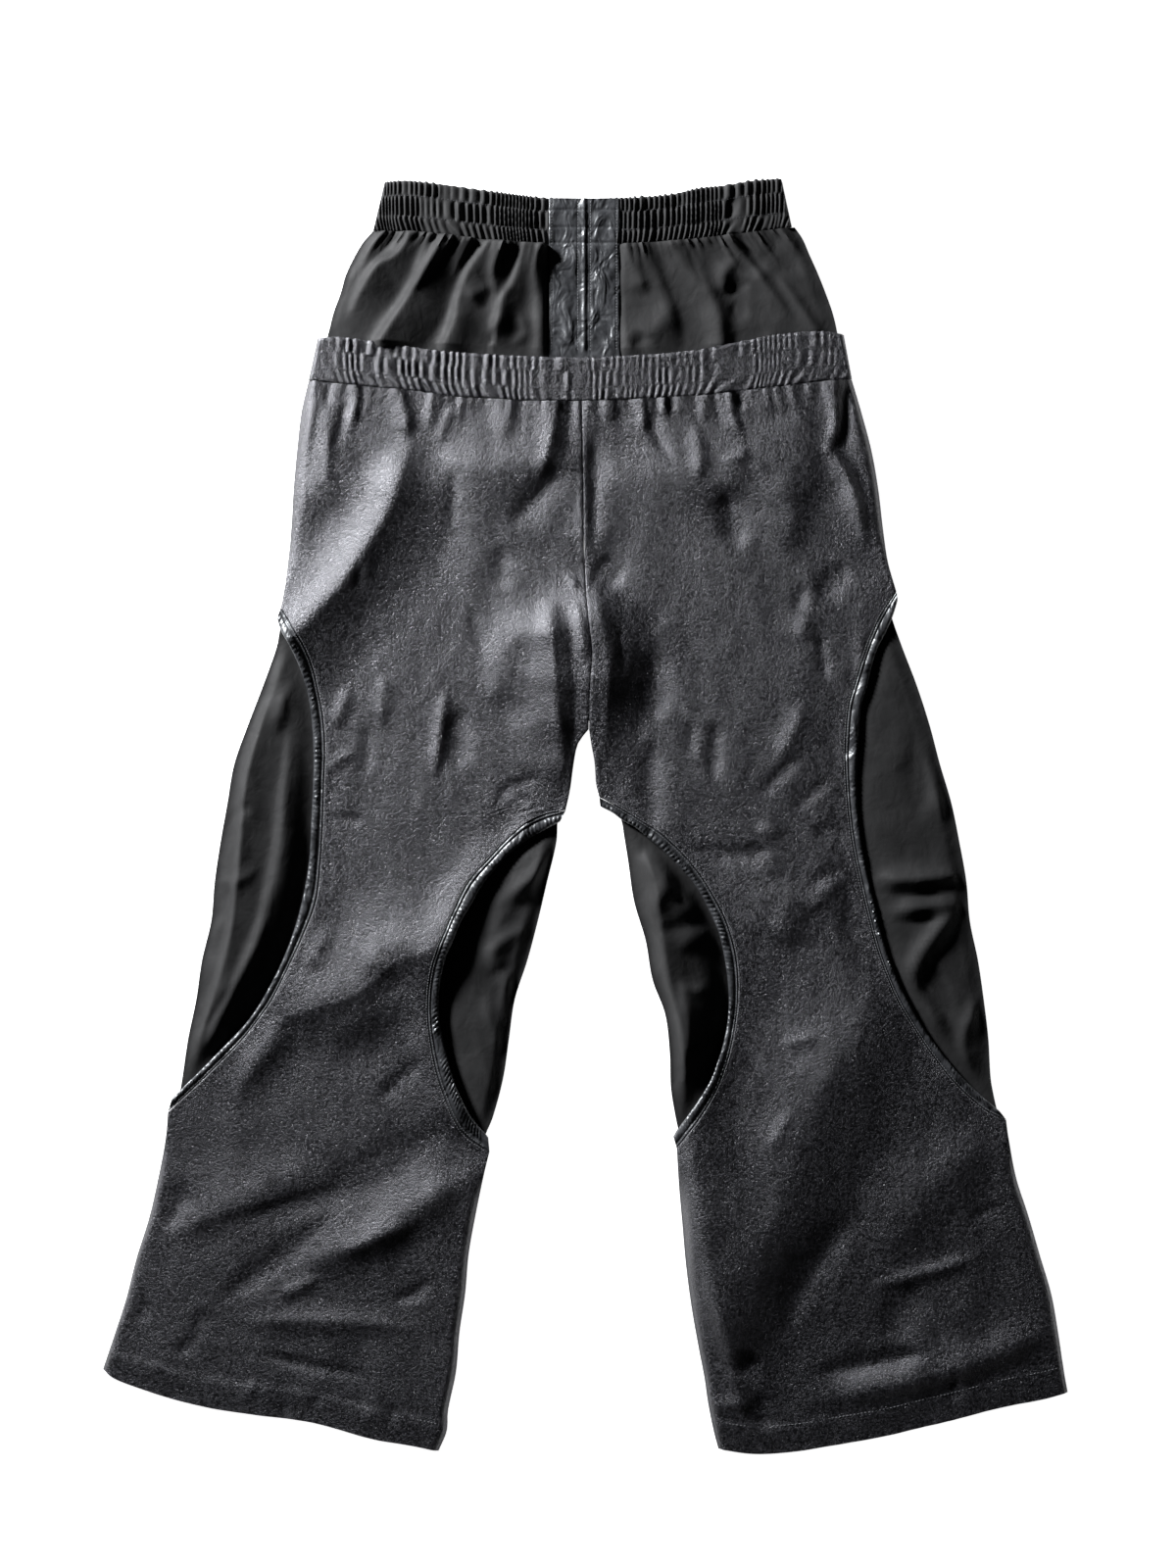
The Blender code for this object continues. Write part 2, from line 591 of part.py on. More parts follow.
# ---- pieces --------------------------------------------------------------------------
def bow(curve, ends, x):
    """How far a curved end of a panel lies below the straight line between its corners."""
    (x0, down0), (x1, down1) = ends
    t = min(max((x - x0) / (x1 - x0), 0.0), 1.0)
    return curve(x) - (down0 + t * (down1 - down0))


class OuterPlan:
    """Where the points of one leg's outer panel lie, seen from above."""

    def __init__(self, leg, levels):
        self.leg = leg
        self.left, self.right = edge_runs(leg, levels)
        self.rows = len(self.left)

    def point(self, t, row):
        (x0, down0), (x1, down1) = self.left[row], self.right[row]
        x, down = x0 + t * (x1 - x0), down0 + t * (down1 - down0)
        last = self.rows - 1
        waist = max(1.0 - row / WAIST_ROWS, 0.0) ** 2
        hem = min(max(1.0 - (last - HEM_TURN_ROWS - row) / HEM_ROWS, 0.0), 1.0) ** 2
        down += waist * (bow(outer_band_bottom, (self.left[0], self.right[0]), x) + GAP)
        down += hem * bow(self.leg.hem, (self.left[last], self.right[last]), x)
        return x, down

    def width(self, row):
        return self.right[row][0] - self.left[row][0]


def outer_panels(side, leg, levels):
    """The upper outer panel with its folds and hem, and the flat lower one."""
    plan = OuterPlan(leg, levels)
    columns = len(rolled_shares(100.0, OUTER_COLUMNS))

    def wall(column, row):
        return CLOTH + (HEM_EXTRA if row >= plan.rows - HEM_TURN_ROWS else 0.0)

    def upper(column, row):
        t = rolled_shares(plan.width(row), OUTER_COLUMNS)[column]
        x, down = plan.point(t, row)
        return x, down, leg.outer_floor(x, down)

    def lower(column, row):
        x, down = plan.point(column / LOWER_COLUMNS, row)
        return x, down + (FRONT_SLACK if row == 0 else 0.0), 0.0

    sheet("outer_back_" + side, columns, plan.rows, upper, wall, "coated")
    sheet("outer_front_" + side, LOWER_COLUMNS + 1, plan.rows, lower, lambda c, r: CLOTH, "coated")


def strip(name, leg, side, levels, outward):
    """The strip sewn round one cut-out: on the upper panel and on the lower one.
    outward is -1 where the cut-out lies to the left of its panel, 1 to the right."""
    downs = [row[0] if side is leg.left else row[1] for row in rows_of(levels)]
    downs = [down for down in downs if side.top <= down <= side.bottom]
    sewn = [(side.stitch(down), down) for down in downs]
    lengths = run_lengths(sewn)
    free = even_run(side.free, side.free_span, [size / lengths[-1] for size in lengths])
    pairs = list(zip(shifted(sewn, outward * GAP / 2), free))

    def at(t, row):
        (x0, down0), (x1, down1) = pairs[row]
        return x0 + t * (x1 - x0), down0 + t * (down1 - down0)

    def upper(column, row):
        x, down = at(column / 2, row)
        return x, down, leg.outer_floor(x, down)

    def crown(column, row):
        return STRIP_WALL - (0.0 if column == 1 else STRIP_CROWN)

    def lower(column, row):
        return (*at(column, row), 0.0)

    sheet(name + "_back", 3, len(pairs), upper, crown, "leather")
    sheet(name + "_front", 2, len(pairs), lower, lambda c, r: CLOTH, "leather")


def inner_panels(side, leg):
    """The inner pair's upper panel with its fan of folds, and the flat lower one."""
    rows = rows_of(INNER_LEVELS)
    left_leg = leg.hand < 0
    outseam = leg.inner_left if left_leg else leg.inner_right
    inseam = leg.inner_right if left_leg else leg.inner_left
    last = len(rows) - 1

    def corners(row):
        """The row's two ends: at the centre seam or inseam, and at the outseam."""
        out_down, in_down = rows[row]
        in_x = inseam(in_down) if in_down > INNER_CROTCH else INNER_SEAM
        return (in_x + leg.hand * GAP / 2, in_down), (outseam(out_down), out_down)

    def point(t, row, slack=0.0):
        """t runs from the centre outwards."""
        (x0, down0), (x1, down1) = corners(row)
        x, down = x0 + t * (x1 - x0), down0 + t * (down1 - down0)
        if row == 0:
            down = inner_band_bottom(x) + GAP + slack
        if row == last:
            down = leg.hem(x) - INNER_END
        return x, down

    def upper(column, row):
        (x0, down0), (x1, _) = corners(row)
        shares = inner_shares(abs(x1 - x0), smooth_step((down0 - CROWD_START) / CROWD_LENGTH))
        x, down = point(shares[column], row)
        return x, down, inner_floor(leg, x, down)

    def lower(column, row):
        x, down = point(column / LOWER_COLUMNS, row, FRONT_SLACK)
        return x, down, inner_rest(down)

    columns = len(inner_shares(100.0, 0.0))
    sheet("inner_back_" + side, columns, last + 1, upper, lambda c, r: CLOTH, "plain")
    sheet("inner_front_" + side, LOWER_COLUMNS + 1, last + 1, lower, lambda c, r: CLOTH, "plain")


class Band:
    """A flattened elastic waistband: a tube with gathers on its upper wall."""

    def __init__(self, top, bottom, ends, under_wall, ceiling, upper_wall):
        self.top, self.bottom, self.ends = along(top), along(bottom), ends
        self.under_wall, self.ceiling, self.upper_wall = under_wall, ceiling, upper_wall
        self.middle = (ceiling + under_wall) / 2

    def round_over(self, t, radius, near, far):
        """Height near an end of the flattened tube, as it rounds from mid-height."""
        if t >= radius:
            return far
        return near + (far - near) * math.sqrt(max(1.0 - ((radius - t) / radius) ** 2, 0.0))

    def point(self, share, upper, depth, outside, ridge):
        """share runs 0 to 1 across the band, and depth 0 to 1 from top to bottom."""
        x_left = self.ends[0][0] + depth * (self.ends[1][0] - self.ends[0][0])
        x_right = self.ends[0][1] + depth * (self.ends[1][1] - self.ends[0][1])
        x = x_left + share * (x_right - x_left)
        from_end = min(x - x_left, x_right - x)
        inward = 1.0 if x - x_left < x_right - x else -1.0
        wall = self.under_wall
        down = self.top(x) + depth * (self.bottom(x) - self.top(x))
        if outside:
            far = self.ceiling + self.upper_wall + ridge if upper else 0.0
            return x, down, self.round_over(from_end, FOLD_RADIUS, self.middle, far)
        inner = FOLD_RADIUS - wall
        if from_end < FOLD_RADIUS:
            x += inward * (wall + from_end * inner / FOLD_RADIUS - from_end)
            from_end = from_end * inner / FOLD_RADIUS
        else:
            from_end = inner
        far = self.ceiling if upper else wall
        return x, down, self.round_over(from_end, inner, self.middle, far)


BAND_END_COLUMNS = (0.0, 0.5, 1.8)  # mm from a band's end, where it rounds over
BAND_UNDER_COLUMNS = (0.8, 0.65, 0.5, 0.35, 0.2)  # shares of its width, underneath


def gather_height(i):
    """From 0 to 1: every other column is a ridge, and no two neighbours are the same."""
    return (i % 2) * (0.75 + 0.25 * math.sin(2.4 * i) * math.cos(0.7 * i))


def band_columns(band, count, clear):
    """(share, upper, ridge) for each column round the band: over the top, then back
    underneath. Gathers fill the upper wall but for the clear middle."""
    width = band.ends[0][1] - band.ends[0][0]
    near = [d / width for d in BAND_END_COLUMNS]
    lead = FOLD_RADIUS / width
    half = 0.5 - clear / width
    shares = [(share, 0.0) for share in near]
    steps = 2 * count
    for i in range(steps + 1):
        shares.append((lead + (half - lead) * i / steps, gather_height(i)))
    over = shares + [(1.0 - share, ridge) for share, ridge in reversed(shares)]
    under = [1.0 - d for d in near[1:]] + [1.0 - lead, *BAND_UNDER_COLUMNS, lead]
    under += list(reversed(near[1:]))
    return [(s, True, ridge) for s, ridge in over] + [(s, False, 0.0) for s in under]


def waistband(name, band, count, clear, levels, finish):
    """levels: rows of (depth, gather height) down the band."""
    columns = band_columns(band, count, clear)
    section = [(depth, True, height) for depth, height in levels]
    section += [(levels[-1][0], False, 0.0), (levels[0][0], False, 0.0)]

    def place(column, step):
        share, upper, ridge = columns[column]
        depth, outside, height = section[step]
        return band.point(share, upper, depth, outside, ridge * height)

    ring(name, len(columns), len(section), place, finish)


INNER_BAND = Band(
    INNER_BAND_TOP, INNER_BAND_BOTTOM, ((-174, 170), (-184, 179)),
    ELASTIC_WALL, ELASTIC_WALL + BAND_AIR, ELASTIC_WALL)
OUTER_BAND = Band(
    OUTER_BAND_TOP, OUTER_BAND_BOTTOM, ((-232, 224), (-240, 231)),
    CLOTH, OUTER_BAND_CEILING, OUTER_BAND_WALL)
INNER_BAND_LEVELS = (
    # depth, gather height: the three rows of stitching pinch the gathers
    (0.0, 0.7), (0.13, 1.3), (0.29, 0.5), (0.48, 1.4), (0.69, 0.5), (0.85, 1.5), (1.0, 0.8))
OUTER_BAND_LEVELS = (
    (0.0, 0.8), (0.16, 0.5), (0.45, 1.6), (0.78, 0.6), (1.0, 1.0))


LEATHER_ON_BAND = [17.5, 29.0, 37.0, 50.0]  # downs of its rows on the inner waistband
LEATHER_ON_HIPS = 150.0  # lowest of its rows above the outer waistband
LEATHER_DROP = 15.0  # it comes down from the waistband over this length
LEATHER_SHARES = (-1.0, -0.5, -0.07, 0.07, 0.5, 1.0)  # columns, as shares of the half-width


def leather_panel():
    """The centre panel, on the inner waistband and on down over the hips."""
    on_hips = [in_down for _, in_down in rows_of(INNER_LEVELS) if in_down <= LEATHER_ON_HIPS]
    rows = LEATHER_ON_BAND + on_hips + [LEATHER_END]
    band_top = INNER_BAND.ceiling + ELASTIC_WALL

    def place(column, row):
        x, down = LEATHER_CENTRE + LEATHER_SHARES[column] * LEATHER_HALF_WIDTH, rows[row]
        on = band_top
        if down > LEATHER_ON_BAND[-1]:
            hips = inner_floor(LEFT if x < INNER_SEAM else RIGHT, x, down) + CLOTH
            on = hips if down > LEATHER_ON_BAND[-1] + LEATHER_DROP else max(hips, band_top)
        return x, down, on + GAP

    def wall(column, row):
        welted = column in (2, 3) and row < len(rows) - 2
        return LEATHER_WALL + (LEATHER_WELT if welted else 0.0)

    sheet("centre_panel", len(LEATHER_SHARES), len(rows), place, wall, "leather")


def build():
    for old in list(bpy.data.objects):
        bpy.data.objects.remove(old)
    parts = bpy.data.collections.new("track_pants")
    bpy.context.scene.collection.children.link(parts)
    waistband("inner_waistband", INNER_BAND, INNER_GATHERS_A_SIDE, GATHER_CLEAR,
              INNER_BAND_LEVELS, "plain")
    waistband("outer_waistband", OUTER_BAND, OUTER_GATHERS_A_SIDE, OUTER_CLEAR,
              OUTER_BAND_LEVELS, "coated")
    for side, leg, levels in (("left", LEFT, LEFT_LEVELS), ("right", RIGHT, RIGHT_LEVELS)):
        outer_panels(side, leg, levels)
        inner_panels(side, leg)
        strip(f"strip_{side}_leg_left", leg, leg.left, levels, -1)
        strip(f"strip_{side}_leg_right", leg, leg.right, levels, 1)
    leather_panel()


build()
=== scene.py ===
"""The looks of a pair of double-waisted track pants, laid flat with the back up.

Every cloth panel is a thin closed shell on the form of its solid, with its folds placed
one by one. Sizes are in millimetres: "down" is the distance below the highest point of the
waist, "x" is to the right of the centre line, and z is above the surface that the
garment lies on. Fold tables are in the photograph's pixels, which PIXEL turns into
millimetres.
"""

import math

import bmesh
import bpy
import numpy as np
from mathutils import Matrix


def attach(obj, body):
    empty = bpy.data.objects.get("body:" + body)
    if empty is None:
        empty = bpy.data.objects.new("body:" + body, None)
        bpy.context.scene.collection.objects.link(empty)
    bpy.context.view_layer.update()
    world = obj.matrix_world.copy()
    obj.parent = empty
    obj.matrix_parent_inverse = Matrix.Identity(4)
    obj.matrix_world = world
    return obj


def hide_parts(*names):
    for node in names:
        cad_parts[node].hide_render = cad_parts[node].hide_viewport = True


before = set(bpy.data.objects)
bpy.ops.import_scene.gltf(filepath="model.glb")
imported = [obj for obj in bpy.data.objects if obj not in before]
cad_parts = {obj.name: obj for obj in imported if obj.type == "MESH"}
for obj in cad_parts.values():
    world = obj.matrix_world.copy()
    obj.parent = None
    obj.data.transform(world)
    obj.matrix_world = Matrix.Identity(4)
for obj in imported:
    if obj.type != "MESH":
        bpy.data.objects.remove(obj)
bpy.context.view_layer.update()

# ---- driving sizes, mm -------------------------------------------------------------
MM = 0.001
LENGTH = 1104.0  # highest point of the waist to the lowest point of the hem
PIXEL = 0.85  # one pixel of the photograph
PHOTO_CENTRE = 597.25  # the pixel column of x = 0
PHOTO_TOP = 183.0  # the pixel row of down = 0
PHOTO_SIZE = (1200, 1600)
CLOTH = 1.2  # wall of each cloth layer
GAP = 0.3  # between pieces
LAYER = CLOTH + GAP
ELASTIC_WALL = 2.0  # casing of the inner waistband with its elastic
BAND_AIR = 0.8  # between the two walls of the inner waistband
OUTER_BAND_WALL = 1.6
OUTER_BAND_CEILING = 6.0  # height at which the outer waistband's upper wall starts
FOLD_RADIUS = 4.5  # of the round ends of the flattened waistbands
LEATHER_WALL = 1.1
LEATHER_HALF_WIDTH = 30.5
LEATHER_CENTRE = -1.0
LEATHER_TOP = 17.5
LEATHER_END = 171.0
LEATHER_SEWING = (5.5, LEATHER_HALF_WIDTH - 2.4)  # its rows of stitching, from its middle
LEATHER_PINCHES = (27.5, 42.5, 56.0)  # down of the waistband's rows of stitching
BESIDE_LEATHER = 33.0  # the hips are smooth this near the centre seam
HEM_DEPTH = 26.0
HEM_EXTRA = 0.7  # the turned-up layer
HEM_REACH = 40.0  # the layers come together over this length above the hem
INNER_END = 32.0  # the inner legs stop this far above the hem
INNER_SEAM = -1.0
CROTCH = 477.0
INNER_CROTCH = 465.0
EDGE_ROLL = 4.2  # a closed seam rises to the leg's height over this length
FOLD_FADE = 8.0  # and its folds come in over this one
BODY_PUFF = 2.4  # how far the middle of a leg stands up between its seams
WAIST_PUFF = 1.5  # how much more it stands up below the waistband
PUFF_REACH = 45.0
SEAM_EASE = 12.0  # beyond a cut-out's end, before its seam starts to close
SEAM_CLOSE = 50.0  # the seam closes over this length
LIFT_REACH = 20.0  # how far in from a cut-out's edge the cloth stands proud
ROOM_EASE = 14.0  # the inner leg comes free over this length inside a cut-out
SHOWN_START = 330.0  # the inner legs can show from here down
CROWD_REACH = 80.0  # below it, their columns crowd to the edges over this length
CROWD = 0.62  # by this share of the spacing
INNER_WAIST_REACH = 90.0  # an inner panel takes up the curve of its waist over this
ANKLE_START = 860.0  # and the curve of its lower end from here on
ANKLE_REACH = 205.0
HIDDEN_CREASE = 0.5  # deepest crease on a side that rests flat
THREAD_CLEAR = 0.22  # stitches lie this far above the cloth
STEP_START = 98.0  # the lower inner layer steps up onto the outer pair from here
STEP_REACH = 28.0
PUCKER_PITCH = 4.1  # of the strips round the cut-outs

# ---- stitches: pitch, length and radius, mm ------------------------------------------
BAND_STITCH = (2.6, 1.8, 0.28)
STRIP_STITCH = (2.4, 1.8, 0.27)
HEM_STITCH = (3.2, 2.1, 0.36)
LEATHER_STITCH = (2.6, 1.9, 0.27)

# ---- columns and rows of the meshes --------------------------------------------------
OUTER_COLUMNS = 92
OUTER_HIDDEN_COLUMNS = 40
INNER_COLUMNS = 92
INNER_HIDDEN_COLUMNS = 44
STRIP_ROWS = 300
STRIP_COLUMNS = (
    0.0, 0.05, 0.12, 0.18, 0.23, 0.27, 0.32, 0.4, 0.5, 0.62, 0.74, 0.85, 0.93, 1.0)
LEATHER_ROWS = 150
LEATHER_COLUMNS = 69
BAND_DEPTHS = (0.0, 0.015, 0.04, *np.linspace(0.08, 0.94, 26), 0.97, 1.0)
BAND_INSIDE_DEPTHS = (1.0, 0.6, 0.3, 0.0)

# ---- edges, as in the solids: rows of (x, down), then rows of (down, x) --------------
INNER_BAND_TOP = (
    (-174, 3), (-153, 2), (-118, 6), (-90, 10), (-60, 14), (-32, 17), (28, 17),
    (73, 14), (98, 8.5), (121, 6), (144, 2), (170, 0))
INNER_BAND_BOTTOM = (
    (-184, 45), (-134, 48), (-83, 54), (-32, 57), (28, 57), (87, 53), (138, 47), (179, 42))
OUTER_BAND_TOP = (
    (-232, 139), (-214, 138), (-168, 144), (-134, 149), (-100, 152), (-66, 154), (2, 156),
    (36, 154), (70, 152), (104, 148), (138, 141), (172, 135), (206, 133), (224, 136))
OUTER_BAND_BOTTOM = (
    (-240, 175), (-185, 181), (-151, 184), (-117, 189), (-83, 191), (-49, 193), (2, 193),
    (36, 192), (70, 190), (104, 188), (138, 184), (172, 180), (206, 176), (231, 174))
LEFT_HEM = (
    (-418, 1031), (-407, 1039), (-389, 1046), (-355, 1057), (-321, 1065), (-287, 1070),
    (-236, 1077), (-185, 1091), (-151, 1097), (-127, 1102))
RIGHT_HEM = (
    (115, 1100), (147, 1104), (181, 1102), (206, 1098), (257, 1089), (291, 1081),
    (317, 1075), (359, 1064), (395, 1057), (418, 1051))
CENTRE_SEAM = (
    (193, -3), (252, -2), (320, -1), (363, 1), (393, 4), (410, 6), (440, 4), (477, 3))
LEFT_OUTSEAM = {
    "above": ((175, -240), (201, -246), (235, -250), (269, -253), (303, -255),
              (337, -258), (354, -260), (372, -263)),
    "stitch": ((372, -263), (388, -253), (405, -243), (422, -236), (444, -231),
               (465, -227), (492, -225), (524, -226), (558, -227), (592, -229),
               (626, -233), (660, -246), (677, -254), (711, -271), (728, -283),
               (748, -299), (778, -329), (794, -346), (808, -361)),
    "free": ((382, -266), (393, -262), (403, -256), (418, -249), (435, -243),
             (452, -239), (478, -236), (507, -235), (558, -237), (592, -239),
             (626, -245), (660, -255), (694, -270), (728, -291), (762, -323),
             (778, -339), (796, -357)),
    "below": ((808, -361), (830, -363), (864, -370), (898, -378), (932, -389),
              (966, -398), (1000, -409), (1031, -418)),
}
LEFT_INSEAM = {
    "above": ((477, 3), (489, -6), (507, -10), (529, -13), (547, -17)),
    "stitch": ((547, -17), (550, -32), (557, -49), (571, -66), (589, -83), (608, -100),
               (631, -112), (652, -121), (669, -128), (686, -133), (711, -136),
               (737, -135), (771, -129), (796, -121), (813, -114), (829, -103),
               (843, -83)),
    "free": ((557, -22), (564, -35), (572, -49), (585, -66), (598, -78), (612, -89),
             (628, -98), (643, -107), (660, -114), (677, -121), (703, -126),
             (728, -126), (745, -123), (762, -119), (779, -114), (796, -107),
             (813, -98), (830, -84)),
    "below": ((843, -83), (864, -88), (898, -95), (932, -101), (966, -104),
              (1000, -109), (1034, -112), (1068, -119), (1085, -120), (1102, -127)),
}
RIGHT_INSEAM = {
    "above": ((477, 3), (490, 5), (507, 8), (524, 9), (536, 12)),
    "stitch": ((536, 12), (542, 24), (549, 36), (557, 49), (565, 62), (576, 75),
               (588, 87), (604, 100), (622, 111), (639, 120), (656, 126), (673, 130),
               (694, 132), (720, 131), (754, 125), (784, 115), (801, 106), (816, 96),
               (828, 87), (839, 79)),
    "free": ((544, 13), (549, 23), (555, 31), (562, 43), (570, 53), (581, 66),
             (594, 79), (608, 92), (622, 101), (638, 109), (652, 115), (673, 120),
             (694, 123), (711, 124), (728, 123), (745, 120), (762, 115), (778, 109),
             (792, 101), (805, 92), (818, 83), (829, 76)),
    "below": ((839, 79), (873, 81), (907, 84), (941, 87), (979, 92), (1013, 98),
              (1039, 103), (1060, 106), (1085, 111), (1100, 115)),
}
RIGHT_OUTSEAM = {
    "above": ((174, 231), (201, 239), (235, 248), (269, 254), (303, 258), (333, 262),
              (358, 269)),
    "stitch": ((358, 269), (376, 257), (388, 251), (405, 244), (422, 238), (439, 233),
               (456, 228), (490, 225), (507, 225), (541, 227), (575, 231), (609, 238),
               (643, 246), (677, 256), (711, 270), (728, 280), (758, 300), (784, 321),
               (807, 347), (815, 364)),
    "free": ((366, 270), (379, 266), (393, 260), (407, 253), (422, 248), (439, 244),
             (456, 239), (490, 236), (524, 235), (558, 237), (592, 242), (626, 250),
             (660, 258), (694, 270), (728, 288), (754, 306), (779, 327), (796, 345),
             (807, 358)),
    "below": ((815, 364), (830, 366), (864, 373), (898, 384), (932, 394), (966, 404),
              (1000, 410), (1034, 415), (1051, 418)),
}
LEFT_INNER_OUTSEAM = (
    (45, -184), (57, -194), (82, -207), (99, -212), (116, -218), (132, -222),
    (150, -227), (175, -233), (235, -243), (303, -247), (354, -252), (376, -258),
    (389, -264), (405, -267), (439, -279), (473, -292), (507, -304), (541, -310),
    (575, -316), (609, -321), (643, -324), (677, -332), (711, -337), (745, -344),
    (779, -349), (797, -352), (818, -355), (864, -364), (932, -382), (1002, -402))
LEFT_INNER_INSEAM = (
    (465, -1), (480, -9), (507, -16), (529, -20), (547, -23), (557, -24), (575, -25),
    (609, -33), (643, -41), (677, -50), (711, -61), (745, -66), (779, -71), (813, -80),
    (830, -87), (844, -90), (864, -94), (898, -101), (932, -107), (966, -110),
    (1000, -115), (1034, -118), (1070, -124))
RIGHT_INNER_INSEAM = (
    (465, -1), (480, 10), (507, 14), (524, 17), (538, 22), (555, 31), (567, 33),
    (592, 37), (626, 42), (660, 52), (694, 58), (724, 69), (758, 73), (788, 74),
    (813, 78), (826, 81), (839, 85), (873, 87), (907, 90), (941, 93), (979, 98),
    (1013, 104), (1039, 109), (1068, 114))
RIGHT_INNER_OUTSEAM = (
    (42, 179), (54, 188), (67, 194), (82, 201), (99, 208), (116, 214), (133, 218),
    (175, 224), (235, 242), (303, 252), (354, 259), (379, 265), (405, 274), (439, 287),
    (473, 298), (507, 307), (541, 317), (575, 324), (609, 330), (643, 333), (677, 340),
    (711, 345), (745, 349), (779, 351), (796, 354), (818, 359), (864, 367), (932, 388),
    (1002, 405), (1019, 408))

# ---- folds -------------------------------------------------------------------------
# Each row is (ends, lit, shade, height, then the fold's line in pixels of the
# photograph). ends has a letter for the start and one for the end, t for tapered and f
# for full height. A third letter c is for a shaded side that ends in a crisp foot, and r
# for a sharp crest with a shaded side that fades out. lit and shade are the widths, in
# mm, of the side towards the light and of the other one. A height below 0, in mm, is a
# trough.
LEFT_THIGH_FOLDS = (
    ("tt", 30, 36, 6.0, (430, 470), (490, 478), (560, 472), (600, 470)),
    ("ft", 4, 5, -1.6, (335, 386), (334, 418)),
    ("tt", 4, 5, -1.8, (354, 410), (350, 430), (341, 466)),
    ("ft", 5, 3.5, 2.7, (366, 390), (364, 415), (357, 446)),
    ("tt", 4, 4, 1.2, (337, 436), (335, 505)),
    ("tt", 9, 8, -3.2, (330, 405), (318, 460), (310, 520)),
    ("ft", 8, 5, 3.4, (406, 394), (415, 425), (417, 452)),
    ("ft", 5, 4, 1.9, (443, 396), (438, 445)),
    ("tt", 6, 5, 1.8, (466, 412), (455, 434), (446, 460)),
    ("tt", 5, 36, 5.5, (324, 392), (318, 440), (313, 490), (309, 550)),
    ("tfr", 22, 62, 12.0, (424, 434), (414, 478), (400, 520), (374, 564), (344, 606), (290, 662)),
    ("tt", 3, 4, -1.1, (368, 566), (365, 612)),
    ("tt", 7, 8, -1.8, (464, 472), (462, 545)),
    ("tt", 7, 8, -1.8, (514, 552), (508, 606)),
    ("tt", 6, 8, -1.6, (478, 612), (496, 676)),
    ("ft", 9, 8, 2.2, (518, 400), (514, 455)),
    ("ft", 7, 5, 2.4, (566, 402), (563, 450), (547, 496)),
    ("ft", 5, 6, -1.2, (580, 408), (576, 484)),
    ("tt", 11, 13, -3.5, (576, 468), (560, 496), (538, 518), (516, 540)),
    ("tt", 13, 13, 1.8, (540, 610), (530, 640), (514, 666), (496, 690)),
    ("tt", 9, 8, 1.1, (562, 606), (559, 634), (556, 668)),
    ("tt", 11, 15, 1.6, (520, 660), (510, 694), (499, 720)),
    ("ttc", 26, 15, 6.5, (564, 610), (565, 650), (568, 700), (578, 790)),
    ("tt", 5, 5, 2.6, (586, 606), (594, 650), (598, 680)),
    ("tt", 7, 6, 2.0, (590, 592), (582, 600)),
    ("tt", 6, 6, 1.9, (394, 680), (389, 748)),
    ("tt", 6, 6, -1.6, (379, 732), (373, 798)),
    ("tt", 6, 6, 1.9, (360, 696), (341, 748)),
    ("tt", 4, 4, 1.4, (368, 760), (331, 789)),
    ("tt", 6, 5, 2.6, (458, 690), (449, 756), (442, 800)),
    ("tt", 8, 10, -3.0, (472, 714), (466, 792)),
    ("tt", 30, 9, 4.0, (560, 700), (572, 760), (568, 816)),
    ("tt", 3, 4, -1.4, (562, 790), (520, 803), (506, 822)),
    ("tt", 3, 4, -1.4, (507, 818), (518, 860)),
    ("tt", 7, 6, 2.4, (545, 816), (530, 858)),
    ("tt", 3, 4, -1.2, (332, 833), (378, 837)),
)
LEFT_SHIN_FOLDS = (
    ("tt", 16, 14, 4.0, (478, 1050), (474, 1110), (460, 1166)),
    ("ttr", 46, 58, 8.5, (560, 850), (474, 950), (404, 982), (368, 1012), (300, 1036),
     (250, 1058)),
    ("tt", 14, 20, 2.2, (440, 958), (392, 968), (372, 1000)),
    ("tt", 16, 16, -4.0, (480, 1130), (400, 1185), (300, 1225), (200, 1250)),
    ("tt", 10, 9, 1.8, (340, 944), (326, 970), (312, 992)),
    ("tt", 14, 18, 1.8, (430, 1010), (380, 1036), (324, 1062)),
    ("tt", 14, 12, 1.7, (300, 1046), (276, 1070), (240, 1112)),
    ("tt", 6, 8, -2.0, (436, 1074), (384, 1126)),
    ("tt", 16, 14, 2.5, (294, 1034), (262, 1084), (234, 1132)),
    ("tt", 24, 12, 3.5, (380, 1194), (275, 1222), (158, 1260)),
    ("tt", 18, 20, 6.0, (500, 1184), (440, 1222), (375, 1262), (290, 1302)),
    ("tt", 6, 6, 1.8, (444, 1234), (385, 1262), (342, 1280)),
    ("tt", 10, 10, -3.0, (348, 1230), (300, 1272), (262, 1300), (214, 1336)),
    ("tt", 7, 6, 2.2, (332, 1300), (282, 1324)),
    ("tt", 9, 9, 2.2, (232, 1348), (330, 1347), (444, 1354)),
    ("tt", 4, 5, -2.1, (446, 1300), (424, 1318), (396, 1327)),
    ("tt", 4, 5, -1.8, (250, 1376), (320, 1392), (388, 1403)),
    ("tt", 4, 5, -1.4, (153, 1320), (143, 1352)),
    ("tt", 5, 5, -1.6, (206, 1332), (202, 1370)),
    ("tt", 5, 6, -1.4, (208, 1360), (174, 1384)),
    ("tt", 8, 9, -2.2, (192, 1204), (170, 1258)),
    ("tt", 4, 4, 1.2, (264, 1402), (245, 1438)),
    ("tt", 4, 5, -1.3, (332, 1412), (316, 1444)),
    ("tt", 4, 4, -1.0, (297, 1424), (286, 1446)),
    ("tt", 4, 4, 1.0, (380, 1434), (372, 1460)),
    ("tt", 4, 4, -1.0, (406, 1426), (396, 1458)),
)
